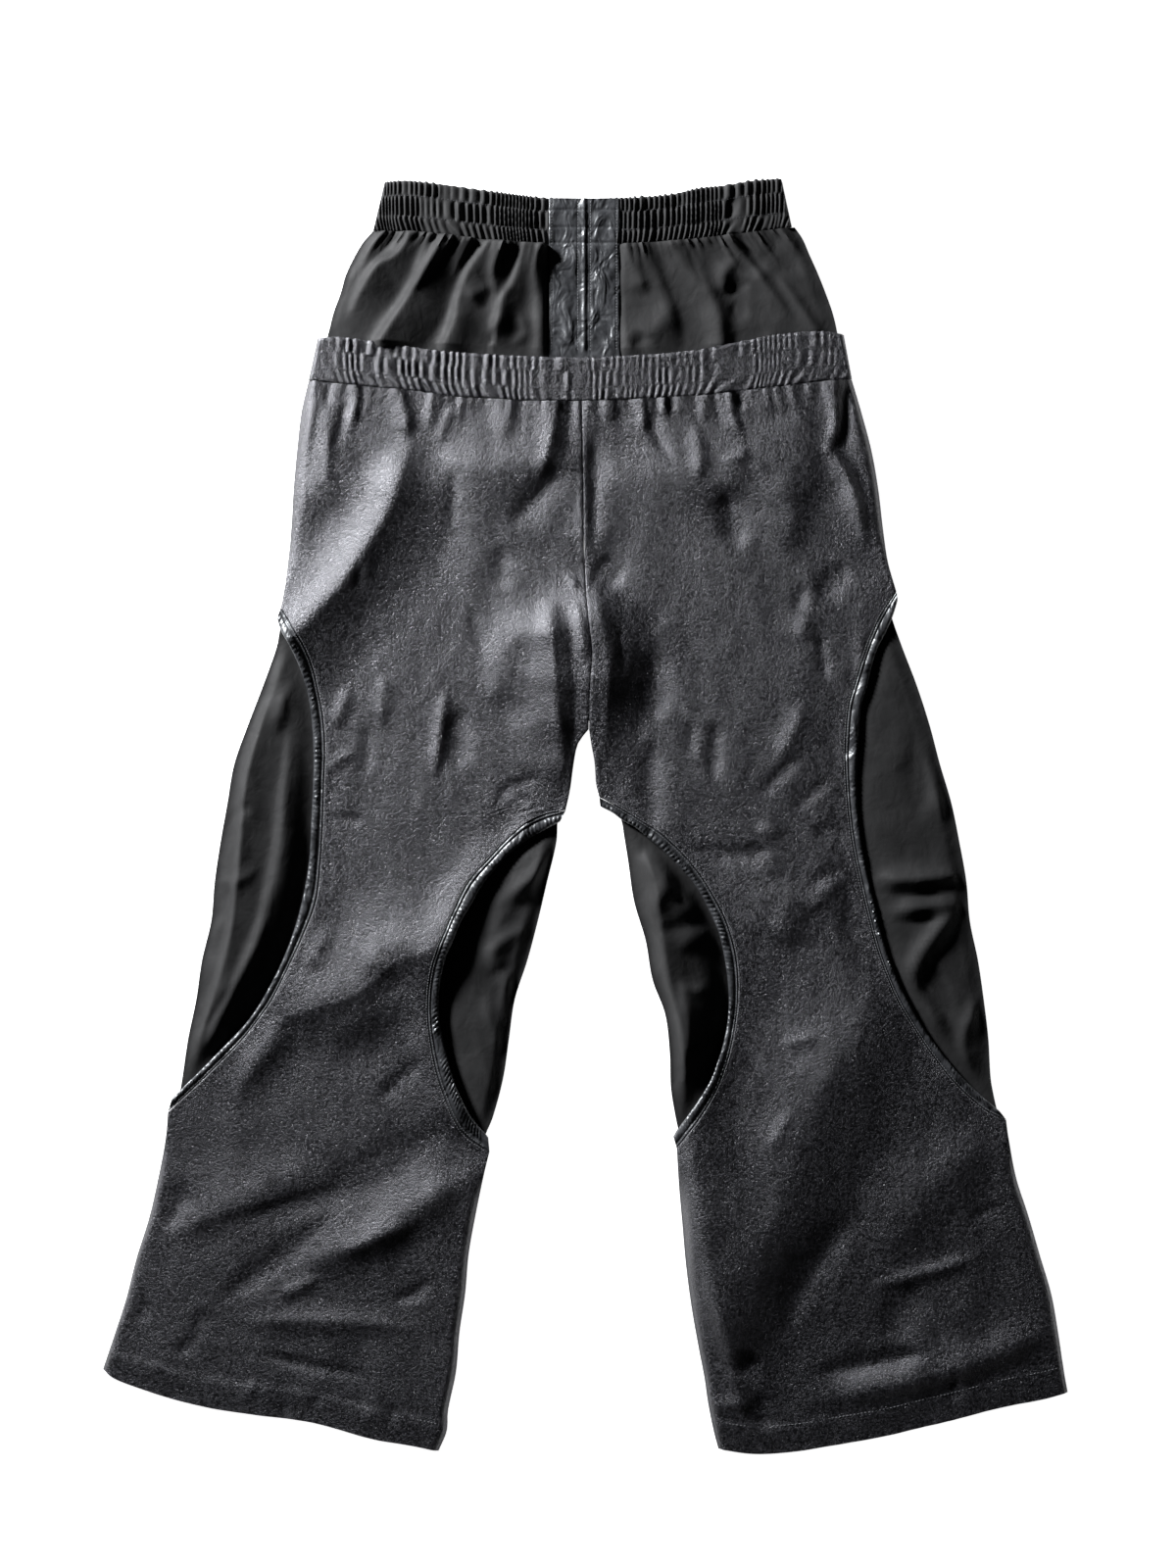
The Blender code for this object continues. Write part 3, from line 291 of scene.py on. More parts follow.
RIGHT_THIGH_FOLDS = (
    ("tt", 22, 14, 3.5, (603, 460), (604, 520), (606, 584)),
    ("tt", 40, 34, 5.5, (606, 474), (700, 484), (800, 476), (860, 486)),
    ("tt", 7, 8, -4.0, (607, 434), (606, 572)),
    ("tt", 12, 14, -4.1, (604, 576), (636, 598)),
    ("ft", 5, 4, 1.9, (620, 402), (622, 434)),
    ("ft", 5, 4, 2.1, (655, 402), (656, 448)),
    ("ft", 4, 4, 1.8, (677, 398), (676, 430)),
    ("ft", 4, 4, 1.6, (692, 398), (692, 430)),
    ("ft", 5, 4, 2.2, (719, 394), (719, 436)),
    ("ft", 6, 4, 3.0, (744, 390), (747, 425), (758, 448)),
    ("tt", 4, 5, -1.8, (666, 416), (669, 446), (689, 476)),
    ("ft", 4, 4, -1.4, (757, 392), (757, 422)),
    ("ft", 3, 3, -1.1, (685, 398), (684, 426)),
    ("tt", 5, 5, -1.4, (774, 424), (816, 427)),
    ("ft", 7, 5, 3.4, (848, 384), (853, 430), (841, 470)),
    ("ft", 4, 5, -1.9, (864, 384), (862, 468)),
    ("tt", 6, 5, 2.1, (706, 430), (714, 466), (709, 496)),
    ("tt", 6, 5, 1.6, (736, 475), (768, 461)),
    ("tt", 12, 12, -4.6, (738, 492), (746, 530), (759, 564)),
    ("tt", 22, 18, 3.0, (800, 472), (806, 520), (796, 572)),
    ("tt", 9, 6, 4.4, (830, 442), (860, 480), (873, 512), (884, 568)),
    ("tt", 9, 10, -3.5, (864, 574), (834, 614)),
    ("tt", 6, 7, -1.8, (819, 594), (812, 628)),
    ("tt", 4, 5, -1.6, (834, 642), (843, 698)),
    ("tt", 8, 7, 2.0, (823, 626), (817, 658)),
    ("tt", 6, 5, 1.6, (878, 642), (878, 698)),
    ("ttr", 62, 50, 13.5, (606, 576), (611, 620), (620, 664), (620, 710), (614, 800)),
    ("tt", 14, 10, -3.2, (664, 650), (670, 700), (664, 744)),
    ("tt", 3, 4, -1.0, (632, 630), (634, 690)),
    ("tt", 8, 9, -3.4, (668, 746), (664, 800), (668, 860)),
    ("tt", 8, 8, -2.4, (731, 730), (726, 800)),
    ("tt", 6, 6, -1.4, (706, 732), (704, 778)),
    ("tt", 5, 6, -1.6, (824, 766), (790, 795), (773, 818)),
    ("tt", 5, 6, -1.4, (852, 788), (803, 832)),
    ("tt", 9, 7, 1.8, (826, 710), (806, 752), (789, 788)),
    ("tt", 6, 8, -2.8, (694, 864), (750, 871), (798, 864)),
    ("tt", 5, 5, 1.4, (768, 848), (800, 846)),
    ("tt", 7, 7, -2.2, (822, 850), (868, 850)),
    ("tt", 5, 6, -1.3, (868, 881), (818, 904)),
    ("tt", 7, 6, 1.4, (858, 896), (820, 932)),
    ("tt", 8, 8, -2.6, (877, 882), (868, 968)),
    ("tt", 24, 20, 3.0, (808, 892), (796, 972)),
)
RIGHT_SHIN_FOLDS = (
    ("tt", 50, 50, 9.5, (934, 944), (886, 1024), (848, 1094), (812, 1170), (784, 1250),
     (768, 1330), (768, 1400)),
    ("ft", 13, 34, 9.0, (704, 1080), (706, 1150), (712, 1220), (728, 1310), (748, 1390),
     (768, 1490)),
    ("tt", 18, 12, -3.0, (884, 1226), (848, 1270), (816, 1316), (799, 1368)),
    ("tt", 30, 24, 4.0, (1014, 1146), (950, 1215), (898, 1288)),
    ("tt", 6, 6, 2.4, (1002, 1279), (950, 1296), (878, 1314)),
    ("tt", 18, 12, 4.5, (1096, 1340), (1030, 1374), (960, 1400), (880, 1418), (800, 1434)),
    ("tt", 9, 8, -3.6, (954, 1376), (890, 1390), (822, 1401)),
    ("tt", 6, 6, 1.8, (722, 1432), (768, 1430)),
    ("tt", 10, 10, -2.6, (770, 1374), (751, 1408)),
    ("tt", 10, 12, -2.2, (772, 1416), (787, 1464)),
    ("tt", 4, 5, -1.3, (984, 1245), (1026, 1225)),
    ("tt", 12, 14, -3.8, (938, 1308), (898, 1370)),
    ("tt", 5, 6, 1.4, (836, 1056), (792, 1066)),
    ("tt", 6, 6, 1.6, (808, 1128), (782, 1176)),
    ("tt", 5, 6, -1.3, (972, 1392), (970, 1436)),
)
LEFT_HIP_FOLDS = (
    ("ftc", 6, 34, 9.8, (420, 234), (416, 250), (404, 264), (386, 274), (368, 302), (352, 336)),
    ("ftr", 7, 8, 3.0, (399, 232), (386, 244), (376, 262), (366, 280)),
    ("fft", 3, 4, 2.4, (362, 276), (352, 300), (342, 330)),
    ("ffc", 5.5, 34, 10.5, (461, 236), (452, 250), (436, 276), (420, 302), (404, 326), (386, 354)),
    ("ff", 4.5, 21, 8.0, (506, 240), (494, 258), (478, 282), (468, 306), (464, 330), (450, 362)),
    ("tt", 8, 8, 2.8, (505, 292), (488, 300), (474, 308)),
    ("ft", 5, 9, 4.2, (518, 242), (508, 258), (504, 280), (506, 300), (494, 328)),
    ("ff", 4, 16, 6.0, (536, 244), (533, 262), (524, 290), (514, 306), (506, 336)),
    ("tt", 8, 8, 2.4, (506, 300), (512, 322), (500, 344)),
    ("tt", 6, 6, 2.4, (528, 316), (536, 340), (520, 356)),
    ("ff", 6, 9, 4.0, (554, 248), (549, 262), (548, 290), (551, 320), (550, 366)),
    ("ft", 3, 3, 2.4, (484, 238), (482, 252)),
    ("ft", 3, 5, 2.2, (440, 240), (432, 262), (420, 288)),
    ("ft", 3, 5, 2.0, (480, 240), (471, 262), (458, 292)),
    ("ft", 3, 4, 1.8, (524, 242), (518, 262), (513, 286)),
    ("ft", 3, 3, 2.4, (556, 246), (552, 262)),
)
RIGHT_HIP_FOLDS = (
    ("ft", 9, 7, 4.0, (640, 250), (650, 280), (660, 304)),
    ("ff", 13, 16, 4.6, (662, 250), (674, 284), (684, 312), (672, 334), (648, 348)),
    ("ff", 7, 13, -3.6, (664, 248), (686, 300), (698, 330), (706, 364)),
    ("ff", 10, 8, 5.0, (690, 250), (716, 288), (732, 318), (736, 356)),
    ("ft", 4, 5, -2.6, (690, 246), (701, 262), (724, 304)),
    ("tt", 7, 7, 3.4, (752, 262), (738, 284), (744, 304)),
    ("ft", 5, 5, -3.0, (735, 244), (757, 266), (776, 288)),
    ("ft", 8, 6, 4.0, (744, 244), (778, 288), (812, 332)),
    ("ft", 5, 6, -3.0, (755, 242), (768, 264), (784, 280)),
    ("ft", 8, 8, -3.6, (782, 240), (797, 260), (822, 286)),
    ("tf", 7, 5, 3.4, (790, 278), (818, 316), (840, 350)),
    ("tt", 6, 6, -2.4, (742, 314), (764, 322)),
    ("tt", 5, 6, -2.4, (738, 296), (766, 290)),
    ("tt", 6, 7, -2.8, (738, 352), (788, 338)),
    ("tt", 7, 8, -3.4, (644, 358), (660, 340)),
)
LEFT_CUTOUT_FOLDS = (
    ("ttc", 5, 30, 7.0, (286, 676), (268, 740), (253, 800), (246, 880), (236, 960), (216, 1030),
     (200, 1080)),
    ("ttc", 5, 24, 5.5, (300, 720), (292, 800), (286, 870), (268, 950), (240, 1010), (222, 1050)),
    ("tt", 5, 6, 1.6, (222, 780), (216, 860), (206, 940)),
    ("tt", 5, 6, 1.4, (272, 880), (240, 900), (214, 894)),
    ("tt", 5, 6, -1.4, (262, 820), (224, 836)),
    ("tt", 5, 6, 1.6, (236, 930), (212, 960), (198, 1010)),
    ("tt", 8, 8, 2.2, (520, 1080), (504, 1050), (494, 1010)),
    ("tt", 6, 7, -1.6, (528, 980), (496, 1000)),
    ("tt", 7, 7, 2.0, (304, 690), (288, 722), (282, 752)),
    ("tt", 4, 5, -1.8, (240, 1000), (204, 1064)),
    ("tt", 8, 10, 3.0, (238, 980), (224, 1040), (210, 1100)),
    ("tt", 8, 9, 3.6, (575, 850), (548, 890), (500, 930)),
    ("tt", 7, 8, 3.2, (548, 940), (504, 970), (520, 1010), (512, 1060)),
    ("tt", 6, 7, 2.6, (560, 1000), (530, 1030), (506, 1050)),
    ("tt", 5, 6, -2.0, (545, 915), (510, 950)),
)
RIGHT_CUTOUT_FOLDS = (
    ("ttc", 9, 44, 11.0, (650, 846), (668, 900), (680, 980), (694, 1050), (700, 1120)),
    ("tt", 5, 6, 1.6, (690, 1000), (706, 1010), (724, 1004)),
    ("tt", 5, 6, 1.6, (672, 900), (696, 912), (724, 906)),
    ("tt", 7, 7, 2.6, (655, 848), (676, 880), (677, 902), (664, 930), (658, 956)),
    ("tt", 8, 9, -3.0, (650, 838), (656, 880)),
    ("tt", 6, 7, -1.4, (660, 954), (744, 928)),
    ("tt", 8, 8, 1.6, (686, 968), (736, 944)),
    ("tt", 8, 8, 3.0, (694, 990), (702, 1050), (692, 1104)),
    ("tt", 8, 8, -2.6, (700, 884), (692, 928)),
    ("ttc", 10, 12, 5.5, (886, 898), (930, 898), (992, 892)),
    ("ttc", 9, 10, 4.0, (900, 934), (944, 926), (990, 920)),
    ("ttc", 8, 14, 5.0, (984, 918), (956, 950), (934, 984), (936, 1020)),
    ("ttc", 8, 12, 4.0, (906, 960), (920, 1000), (950, 1040), (984, 1090)),
    ("tt", 7, 8, 3.2, (1008, 1000), (982, 1060), (996, 1104)),
    ("tt", 7, 9, -2.4, (930, 760), (938, 840)),
    ("tt", 9, 9, 2.8, (950, 740), (962, 850)),
    ("tt", 6, 6, -2.2, (950, 980), (972, 1040)),
)


# ---- curves and surfaces -----------------------------------------------------------
def smooth_step(t):
    t = np.clip(t, 0.0, 1.0)
    return t * t * (3.0 - 2.0 * t)


def along(rows):
    """A smooth function through (position, value) rows."""
    keys, values = np.array(rows, dtype=float).T
    last = len(keys) - 1
    before = np.maximum(np.arange(last + 1) - 1, 0)
    after = np.minimum(np.arange(last + 1) + 1, last)
    slopes = (values[after] - values[before]) / (keys[after] - keys[before])

    def value(key):
        key = np.clip(key, keys[0], keys[-1])
        i = np.clip(np.searchsorted(keys, key) - 1, 0, last - 1)
        step = keys[i + 1] - keys[i]
        t = (key - keys[i]) / step
        rise = values[i + 1] - values[i]
        start, end = slopes[i] * step, slopes[i + 1] * step
        bend = (start + end - 2.0 * rise) * t + 3.0 * rise - 2.0 * start - end
        return values[i] + t * (start + t * bend)

    return value


def soft_noise(seed, size_x, size_down, x, down):
    """Smooth random heights, about -1 to 1, with hills of about these sizes in mm."""
    across, deep = x / size_x + 400.0, down / size_down + 40.0
    table = np.random.default_rng(seed).uniform(-1.0, 1.0, (97, 89))
    i, j = np.floor(across).astype(int), np.floor(deep).astype(int)
    s, t = across - i, deep - j
    total = np.zeros(np.broadcast(x, down).shape)
    for a, weight_a in enumerate(spline_weights(s)):
        for b, weight_b in enumerate(spline_weights(t)):
            total += weight_a * weight_b * table[(i + a) % 97, (j + b) % 89]
    return 2.2 * total


def spline_weights(t):
    """The four weights of a cubic spline at t between its two middle points."""
    return (
        (1.0 - t) ** 3 / 6.0,
        (3.0 * t**3 - 6.0 * t**2 + 4.0) / 6.0,
        (-3.0 * t**3 + 3.0 * t**2 + 3.0 * t + 1.0) / 6.0,
        t**3 / 6.0,
    )


def smooth_path(points, steps=5):
    """More points on a smooth curve through the given ones, (n, 2)."""
    points = np.array(points, dtype=float)
    ends = np.vstack([2 * points[0] - points[1], points, 2 * points[-1] - points[-2]])
    path = []
    for a, b, c, d in zip(ends, ends[1:], ends[2:], ends[3:]):
        for t in np.arange(steps) / steps:
            path.append(0.5 * (2 * b + (c - a) * t + (2 * a - 5 * b + 4 * c - d) * t**2
                               + (3 * b - a - 3 * c + d) * t**3))
    return np.array(path + [points[-1]])


LIGHT_SIDE = (-0.72, -0.69)  # towards the light, as (x, down)


def fold_heights(table, x, down):
    """Summed height of the folds of a table."""
    total = np.zeros(x.shape)
    for ends, lit, shade, height, *line in table:
        path = smooth_path(line)
        path = np.column_stack([(path[:, 0] - PHOTO_CENTRE), (path[:, 1] - PHOTO_TOP)]) * PIXEL
        reach = 2.6 * max(lit, shade)
        low, high = path.min(axis=0) - reach, path.max(axis=0) + reach
        near = (x > low[0]) & (x < high[0]) & (down > low[1]) & (down < high[1])
        if near.any():
            total[near] += one_fold(ends, lit, shade, height, path, x[near], down[near])
    return total


def one_fold(ends, lit, shade, height, path, x, down):
    chord = path[-1] - path[0]
    turned = chord[1] * LIGHT_SIDE[0] - chord[0] * LIGHT_SIDE[1]
    flip = 1.0 if turned > 0 else -1.0
    best = np.full(x.shape, np.inf)
    side, share = np.zeros(x.shape), np.zeros(x.shape)
    count = len(path) - 1
    for i in range(count):
        run = path[i + 1] - path[i]
        off_x, off_down = x - path[i][0], down - path[i][1]
        t = np.clip((off_x * run[0] + off_down * run[1]) / (run @ run), 0.0, 1.0)
        away = np.hypot(off_x - t * run[0], off_down - t * run[1])
        closer = away < best
        best = np.where(closer, away, best)
        side = np.where(closer, flip * (run[1] * off_x - run[0] * off_down), side)
        share = np.where(closer, (i + t) / count, share)
    start = 1.0 if ends[0] == "f" else smooth_step(share / 0.35)
    end = 1.0 if ends[1] == "f" else smooth_step((1.0 - share) / 0.35)
    full = start * end
    narrow = 0.5 + 0.5 * full
    u = best / (np.where(side > 0, lit, shade) * narrow)
    form = np.exp(-(u**1.7))
    if ends.endswith("c"):
        form = np.where(side > 0, form, np.clip(1.0 - u, 0.0, 1.0) ** 0.9)
    if ends.endswith("r"):
        form = np.where(side > 0, np.exp(-(u**1.8)), np.clip(1.0 - u, 0.0, 1.0) ** 1.8)
    return height * full * form


def above_floor(height, roundness=1.2):
    """Heights below 0 become almost 0, softly."""
    return 0.5 * (height + np.sqrt(height**2 + roundness**2))


inner_band_bottom = along(INNER_BAND_BOTTOM)
outer_band_top = along(OUTER_BAND_TOP)
outer_band_bottom = along(OUTER_BAND_BOTTOM)
centre_seam = along(CENTRE_SEAM)


def gather_ridges(seed, curve, ends, pitch, length, height, lean):
    """Short ridges that run on from a waistband's gathers, as a fold function."""
    random = np.random.default_rng(seed)
    count = int((ends[1] - ends[0]) / pitch)
    middles = ends[0] + pitch * (np.arange(count) + random.uniform(0.2, 0.8, count))
    lengths = length * random.uniform(0.35, 1.25, count)
    heights = height * random.uniform(0.4, 1.2, count)

    def value(x, down):
        from_band = down - curve(x)
        place = x - lean * from_band * x / 180.0
        total = np.zeros(x.shape)
        for middle, size, high in zip(middles, lengths, heights):
            fade = np.exp(-((np.maximum(from_band, 0.0) / size) ** 2))
            total += high * fade * np.exp(-(np.abs((place - middle) / (0.34 * pitch)) ** 1.6))
        return total

    return value


outer_gathers = gather_ridges(11, outer_band_bottom, (-236, 228), 8.3, 19.0, 1.7, 0.25)
inner_gathers = gather_ridges(12, inner_band_bottom, (-184, 180), 5.2, 17.0, 2.8, 0.75)


class Side:
    """One long edge of a leg's outer panel, with its cut-out."""

    def __init__(self, table, edge_lift, bulge, reach, start=None):
        self.edge_lift = edge_lift  # how far the cut-out's edge stands proud
        self.bulge, self.reach = bulge, reach  # of the inner leg, highest this far inside
        self.above, self.stitch = along(table["above"]), along(table["stitch"])
        self.free, self.below = along(table["free"]), along(table["below"])
        self.start = start  # the centre seam, on the inseam side
        self.top = table["stitch"][0][0]
        self.bottom = table["stitch"][-1][0]
        self.free_span = (table["free"][0][0], table["free"][-1][0])

    def closed(self, down):
        """1 where the seam is sewn shut on its twin, 0 by the cut-out and the crotch."""
        above = 0.0 if self.start else smooth_step((self.top - SEAM_EASE - down) / SEAM_CLOSE)
        return above + smooth_step((down - self.bottom - SEAM_EASE) / SEAM_CLOSE)

    def x(self, down):
        edge = np.where(down < self.bottom, self.stitch(down), self.below(down))
        edge = np.where(down < self.top, self.above(down), edge)
        return np.where(down < CROTCH, self.start(down), edge) if self.start else edge

    def lift(self, down, away):
        """How far the free edge of the cut-out makes the cloth stand proud."""
        t = np.clip((down - self.top) / (self.bottom - self.top), 0.0, 1.0)
        return self.edge_lift * np.sin(math.pi * t) * np.exp(-((away / LIFT_REACH) ** 2))


class Leg:
    """The edges of one leg, and the heights of its layers."""

    def __init__(self, name, left, right, inner_left, inner_right, hem, hand, folds, shown):
        self.name, self.hand = name, hand  # -1 for the left leg, 1 for the right
        self.left, self.right = left, right
        self.inner_left, self.inner_right = along(inner_left), along(inner_right)
        self.hem = along(hem)
        self.folds, self.shown_folds = folds, shown

    def inset(self, x, down):
        """How far a point lies inside the inner leg's outline."""
        from_left = x - self.inner_left(down)
        from_right = self.inner_right(down) - x
        outer = from_left if self.hand < 0 else from_right
        return np.where(down < INNER_CROTCH - 25.0, outer, np.minimum(from_left, from_right))

    def crumple(self, x, down):
        """Small uneven facets all over the coated cloth."""
        broad = soft_noise(21, 16.0, 27.0, x, down)
        facets = np.abs(soft_noise(22, 10.0, 17.0, x, down))
        fine = soft_noise(23, 5.0, 8.0, x, down)
        return 0.50 * broad - 0.26 * facets + 0.06 * fine

    def outer_floor(self, x, down):
        """z of the underside of the upper outer layer: it lies on the inner leg, comes
        down on its twin at the closed seams and the hem, and stands up in its folds."""
        above_hem = self.hem(x) - down
        over = 0.7 + 0.3 * smooth_step(above_hem / HEM_REACH)
        loose = 0.7 + 0.3 * smooth_step(above_hem / HEM_DEPTH)
        lift = 0.0
        for side in (self.left, self.right):
            away = np.abs(x - side.x(down))
            closed = side.closed(down)
            over = over * (1.0 - closed * (1.0 - smooth_step(away / EDGE_ROLL)))
            loose = loose * (1.0 - closed * (1.0 - smooth_step(away / FOLD_FADE)))
            lift = lift + side.lift(down, away)
        from_band = np.maximum(down - outer_band_bottom(x), 0.0)
        puff = WAIST_PUFF * np.exp(-((from_band / PUFF_REACH) ** 2)) + BODY_PUFF
        height = fold_heights(self.folds, x, down) + puff + self.crumple(x, down)
        height = above_floor(height + np.minimum(lift, 0.0)) + outer_gathers(x, down)
        return LAYER + 2.0 * LAYER * over + loose * height + np.maximum(lift, 0.0)

    def inner_floor(self, x, down):
        """z of the underside of the upper inner layer."""
        base = inner_rest(down) + LAYER
        edge = smooth_step((self.inset(x, down) - 1.0) / 12.0)
        seam = smooth_step((np.abs(x - INNER_SEAM) - BESIDE_LEATHER + 2.0) / 3.5)
        from_band = down - inner_band_bottom(x)
        puff = (2.0 * ELASTIC_WALL + BAND_AIR - LAYER - CLOTH) * np.exp(
            -((np.maximum(from_band, 0.0) / PUFF_REACH) ** 2))
        above_outer = smooth_step((outer_band_top(x) + 4.0 - down) / 5.0)
        hips = LEFT_HIP_FOLDS if self.hand < 0 else RIGHT_HIP_FOLDS
        fan = above_floor(fold_heights(hips, x, down) + puff + 0.8)
        fan = fan + inner_gathers(x, down) + 0.25 * soft_noise(31, 9.0, 12.0, x, down)
        fan = fan * seam + puff * (1.0 - seam)
        fan = fan * smooth_step((from_band + 8.0) / 10.0) * above_outer
        cover, dome, bulge = self.room(x, down)
        sway = above_floor(1.3 * fold_heights(self.shown_folds, x, down) + 0.8
                           + 0.7 * soft_noise(32, 12.0, 20.0, x, down))
        sway = np.where(down > SHOWN_START, cover + dome * sway + bulge, 0.0)
        return base + edge * (fan + sway)

    def room(self, x, down):
        """How far the upper inner layer rises under the lifted edge of a cut-out, and
        from 0 to 1 how free it is to bulge where the cut-out shows it."""
        cover, dome, bulge = np.zeros(x.shape), np.zeros(x.shape), np.zeros(x.shape)
        for side, outward in ((self.left, -1.0), (self.right, 1.0)):
            slope = (side.free(down + 2.0) - side.free(down - 2.0)) / 4.0
            clear = (x - side.free(down)) * outward / np.hypot(1.0, slope)
            inside = (down > side.free_span[0]) & (down < side.free_span[1])
            away = np.abs(x - side.x(down))
            ends = smooth_step((down - side.free_span[0]) / ROOM_EASE)
            ends = ends * smooth_step((side.free_span[1] - down) / ROOM_EASE)
            cover = np.maximum(cover, np.where(inside, 0.12 * side.lift(down, away), 0.0))
            free = smooth_step((clear - 1.0) / ROOM_EASE) * ends
            dome = np.maximum(dome, np.where(inside, free, 0.0))
            edge = self.inner_left(down) if outward < 0 else self.inner_right(down)
            room = np.maximum((edge - side.free(down)) * outward, side.reach + 8.0)
            beyond = np.clip((clear - side.reach) / (room - side.reach), 0.0, 1.0)
            form = np.clip(clear / side.reach, 0.0, 1.0) * (1.0 - 0.75 * beyond)
            bulge = np.maximum(bulge, np.where(inside, side.bulge * form * ends, 0.0))
        return cover, dome, bulge


def inner_rest(down):
    """z of the lower inner layer: on the floor at the hips, then on the outer pair."""
    return LAYER * smooth_step((down - STEP_START) / STEP_REACH)


LEFT = Leg(
    "left", Side(LEFT_OUTSEAM, 1.0, 4.0, 22.0), Side(LEFT_INSEAM, 5.0, 3.0, 30.0, centre_seam),
    LEFT_INNER_OUTSEAM, LEFT_INNER_INSEAM, LEFT_HEM, -1,
    LEFT_THIGH_FOLDS + LEFT_SHIN_FOLDS + RIGHT_THIGH_FOLDS, LEFT_CUTOUT_FOLDS)
RIGHT = Leg(
    "right", Side(RIGHT_INSEAM, 1.0, 4.0, 22.0, centre_seam), Side(RIGHT_OUTSEAM, -2.6, 1.0, 30.0),
    RIGHT_INNER_INSEAM, RIGHT_INNER_OUTSEAM, RIGHT_HEM, 1,
    RIGHT_THIGH_FOLDS + RIGHT_SHIN_FOLDS + LEFT_THIGH_FOLDS, RIGHT_CUTOUT_FOLDS)

# Where each named level of a leg meets its left and its right edge
LEFT_LEVELS = ((175, 193), (372, 363), (470, 477), (535, 547), (808, 843), (1002, 1072),
               (1005, 1075), (1031, 1102))
RIGHT_LEVELS = ((193, 174), (363, 358), (477, 470), (536, 530), (839, 815), (1070, 1023),
                (1073, 1026), (1100, 1051))
INNER_LEVELS = ((45, 57), (140, 150), (372, 390), (447, 465), (830, 860), (1000, 1068))
INNER_ROW_STEPS = (2.1, 9.0, 5.0, 3.3, 8.0)
OUTER_ROW_STEP = 3.0
WAIST_REACH = 145.0  # a panel takes up the curve of its waist over this length
EDGE_COLUMNS = (0.0, 0.6, 1.3, 2.2, 3.2, 4.4, 6.0, 8.0, 10.4)


def rows_of(levels, steps):
    """(left down, right down) of every row, from the levels and each stretch's step."""
    rows = []
    for a, b, step in zip(levels, levels[1:], steps):
        count = max(round((max(b[0] - a[0], b[1] - a[1])) / step), 1)
        for t in np.arange(count) / count:
            rows.append((a[0] + t * (b[0] - a[0]), a[1] + t * (b[1] - a[1])))
    return np.array(rows + [levels[-1]], dtype=float)


def shifted(points, distance):
    """A run of (x, down) moved sideways: to the right as it goes down, for a positive
    distance."""
    run = np.gradient(points, axis=0)
    size = np.hypot(run[:, 0], run[:, 1])
    return points + distance * np.column_stack([run[:, 1] / size, -run[:, 0] / size])


def bow(curve, start, end, x):
    """How far a curved end of a panel lies below the straight line between its corners."""
    t = np.clip((x - start[0]) / (end[0] - start[0]), 0.0, 1.0)
    return curve(x) - (start[1] + t * (end[1] - start[1]))


def outer_plan(leg, levels, middle_columns):
    """x and down of every point of an outer panel."""
    rows = rows_of(levels, [OUTER_ROW_STEP] * (len(levels) - 1))
    left = shifted(np.column_stack([leg.left.x(rows[:, 0]), rows[:, 0]]), GAP / 2)
    right = shifted(np.column_stack([leg.right.x(rows[:, 1]), rows[:, 1]]), -GAP / 2)
    near = np.array(EDGE_COLUMNS)
    middle = (np.arange(1, middle_columns) / middle_columns)[None, :]
    width = (right[:, 0] - left[:, 0])[:, None]
    places = np.hstack([
        near + 0.0 * width,
        near[-1] + (width - 2.0 * near[-1]) * middle,
        width - near[::-1],
    ]) / width
    x = left[:, :1] + places * (right - left)[:, :1]
    down = left[:, 1:] + places * (right - left)[:, 1:]
    waist = np.clip(1.0 - (rows[:, :1] - rows[0, 0]) / WAIST_REACH, 0.0, 1.0) ** 2
    hem_top, hole_end = levels[-2][0], levels[-4][0]
    hem = np.clip((rows[:, :1] - hole_end) / (hem_top - hole_end), 0.0, 1.0) ** 2
    down = down + waist * (bow(outer_band_bottom, left[0], right[0], x) + GAP)
    down = down + hem * bow(leg.hem, left[-1], right[-1], x)
    return x, down


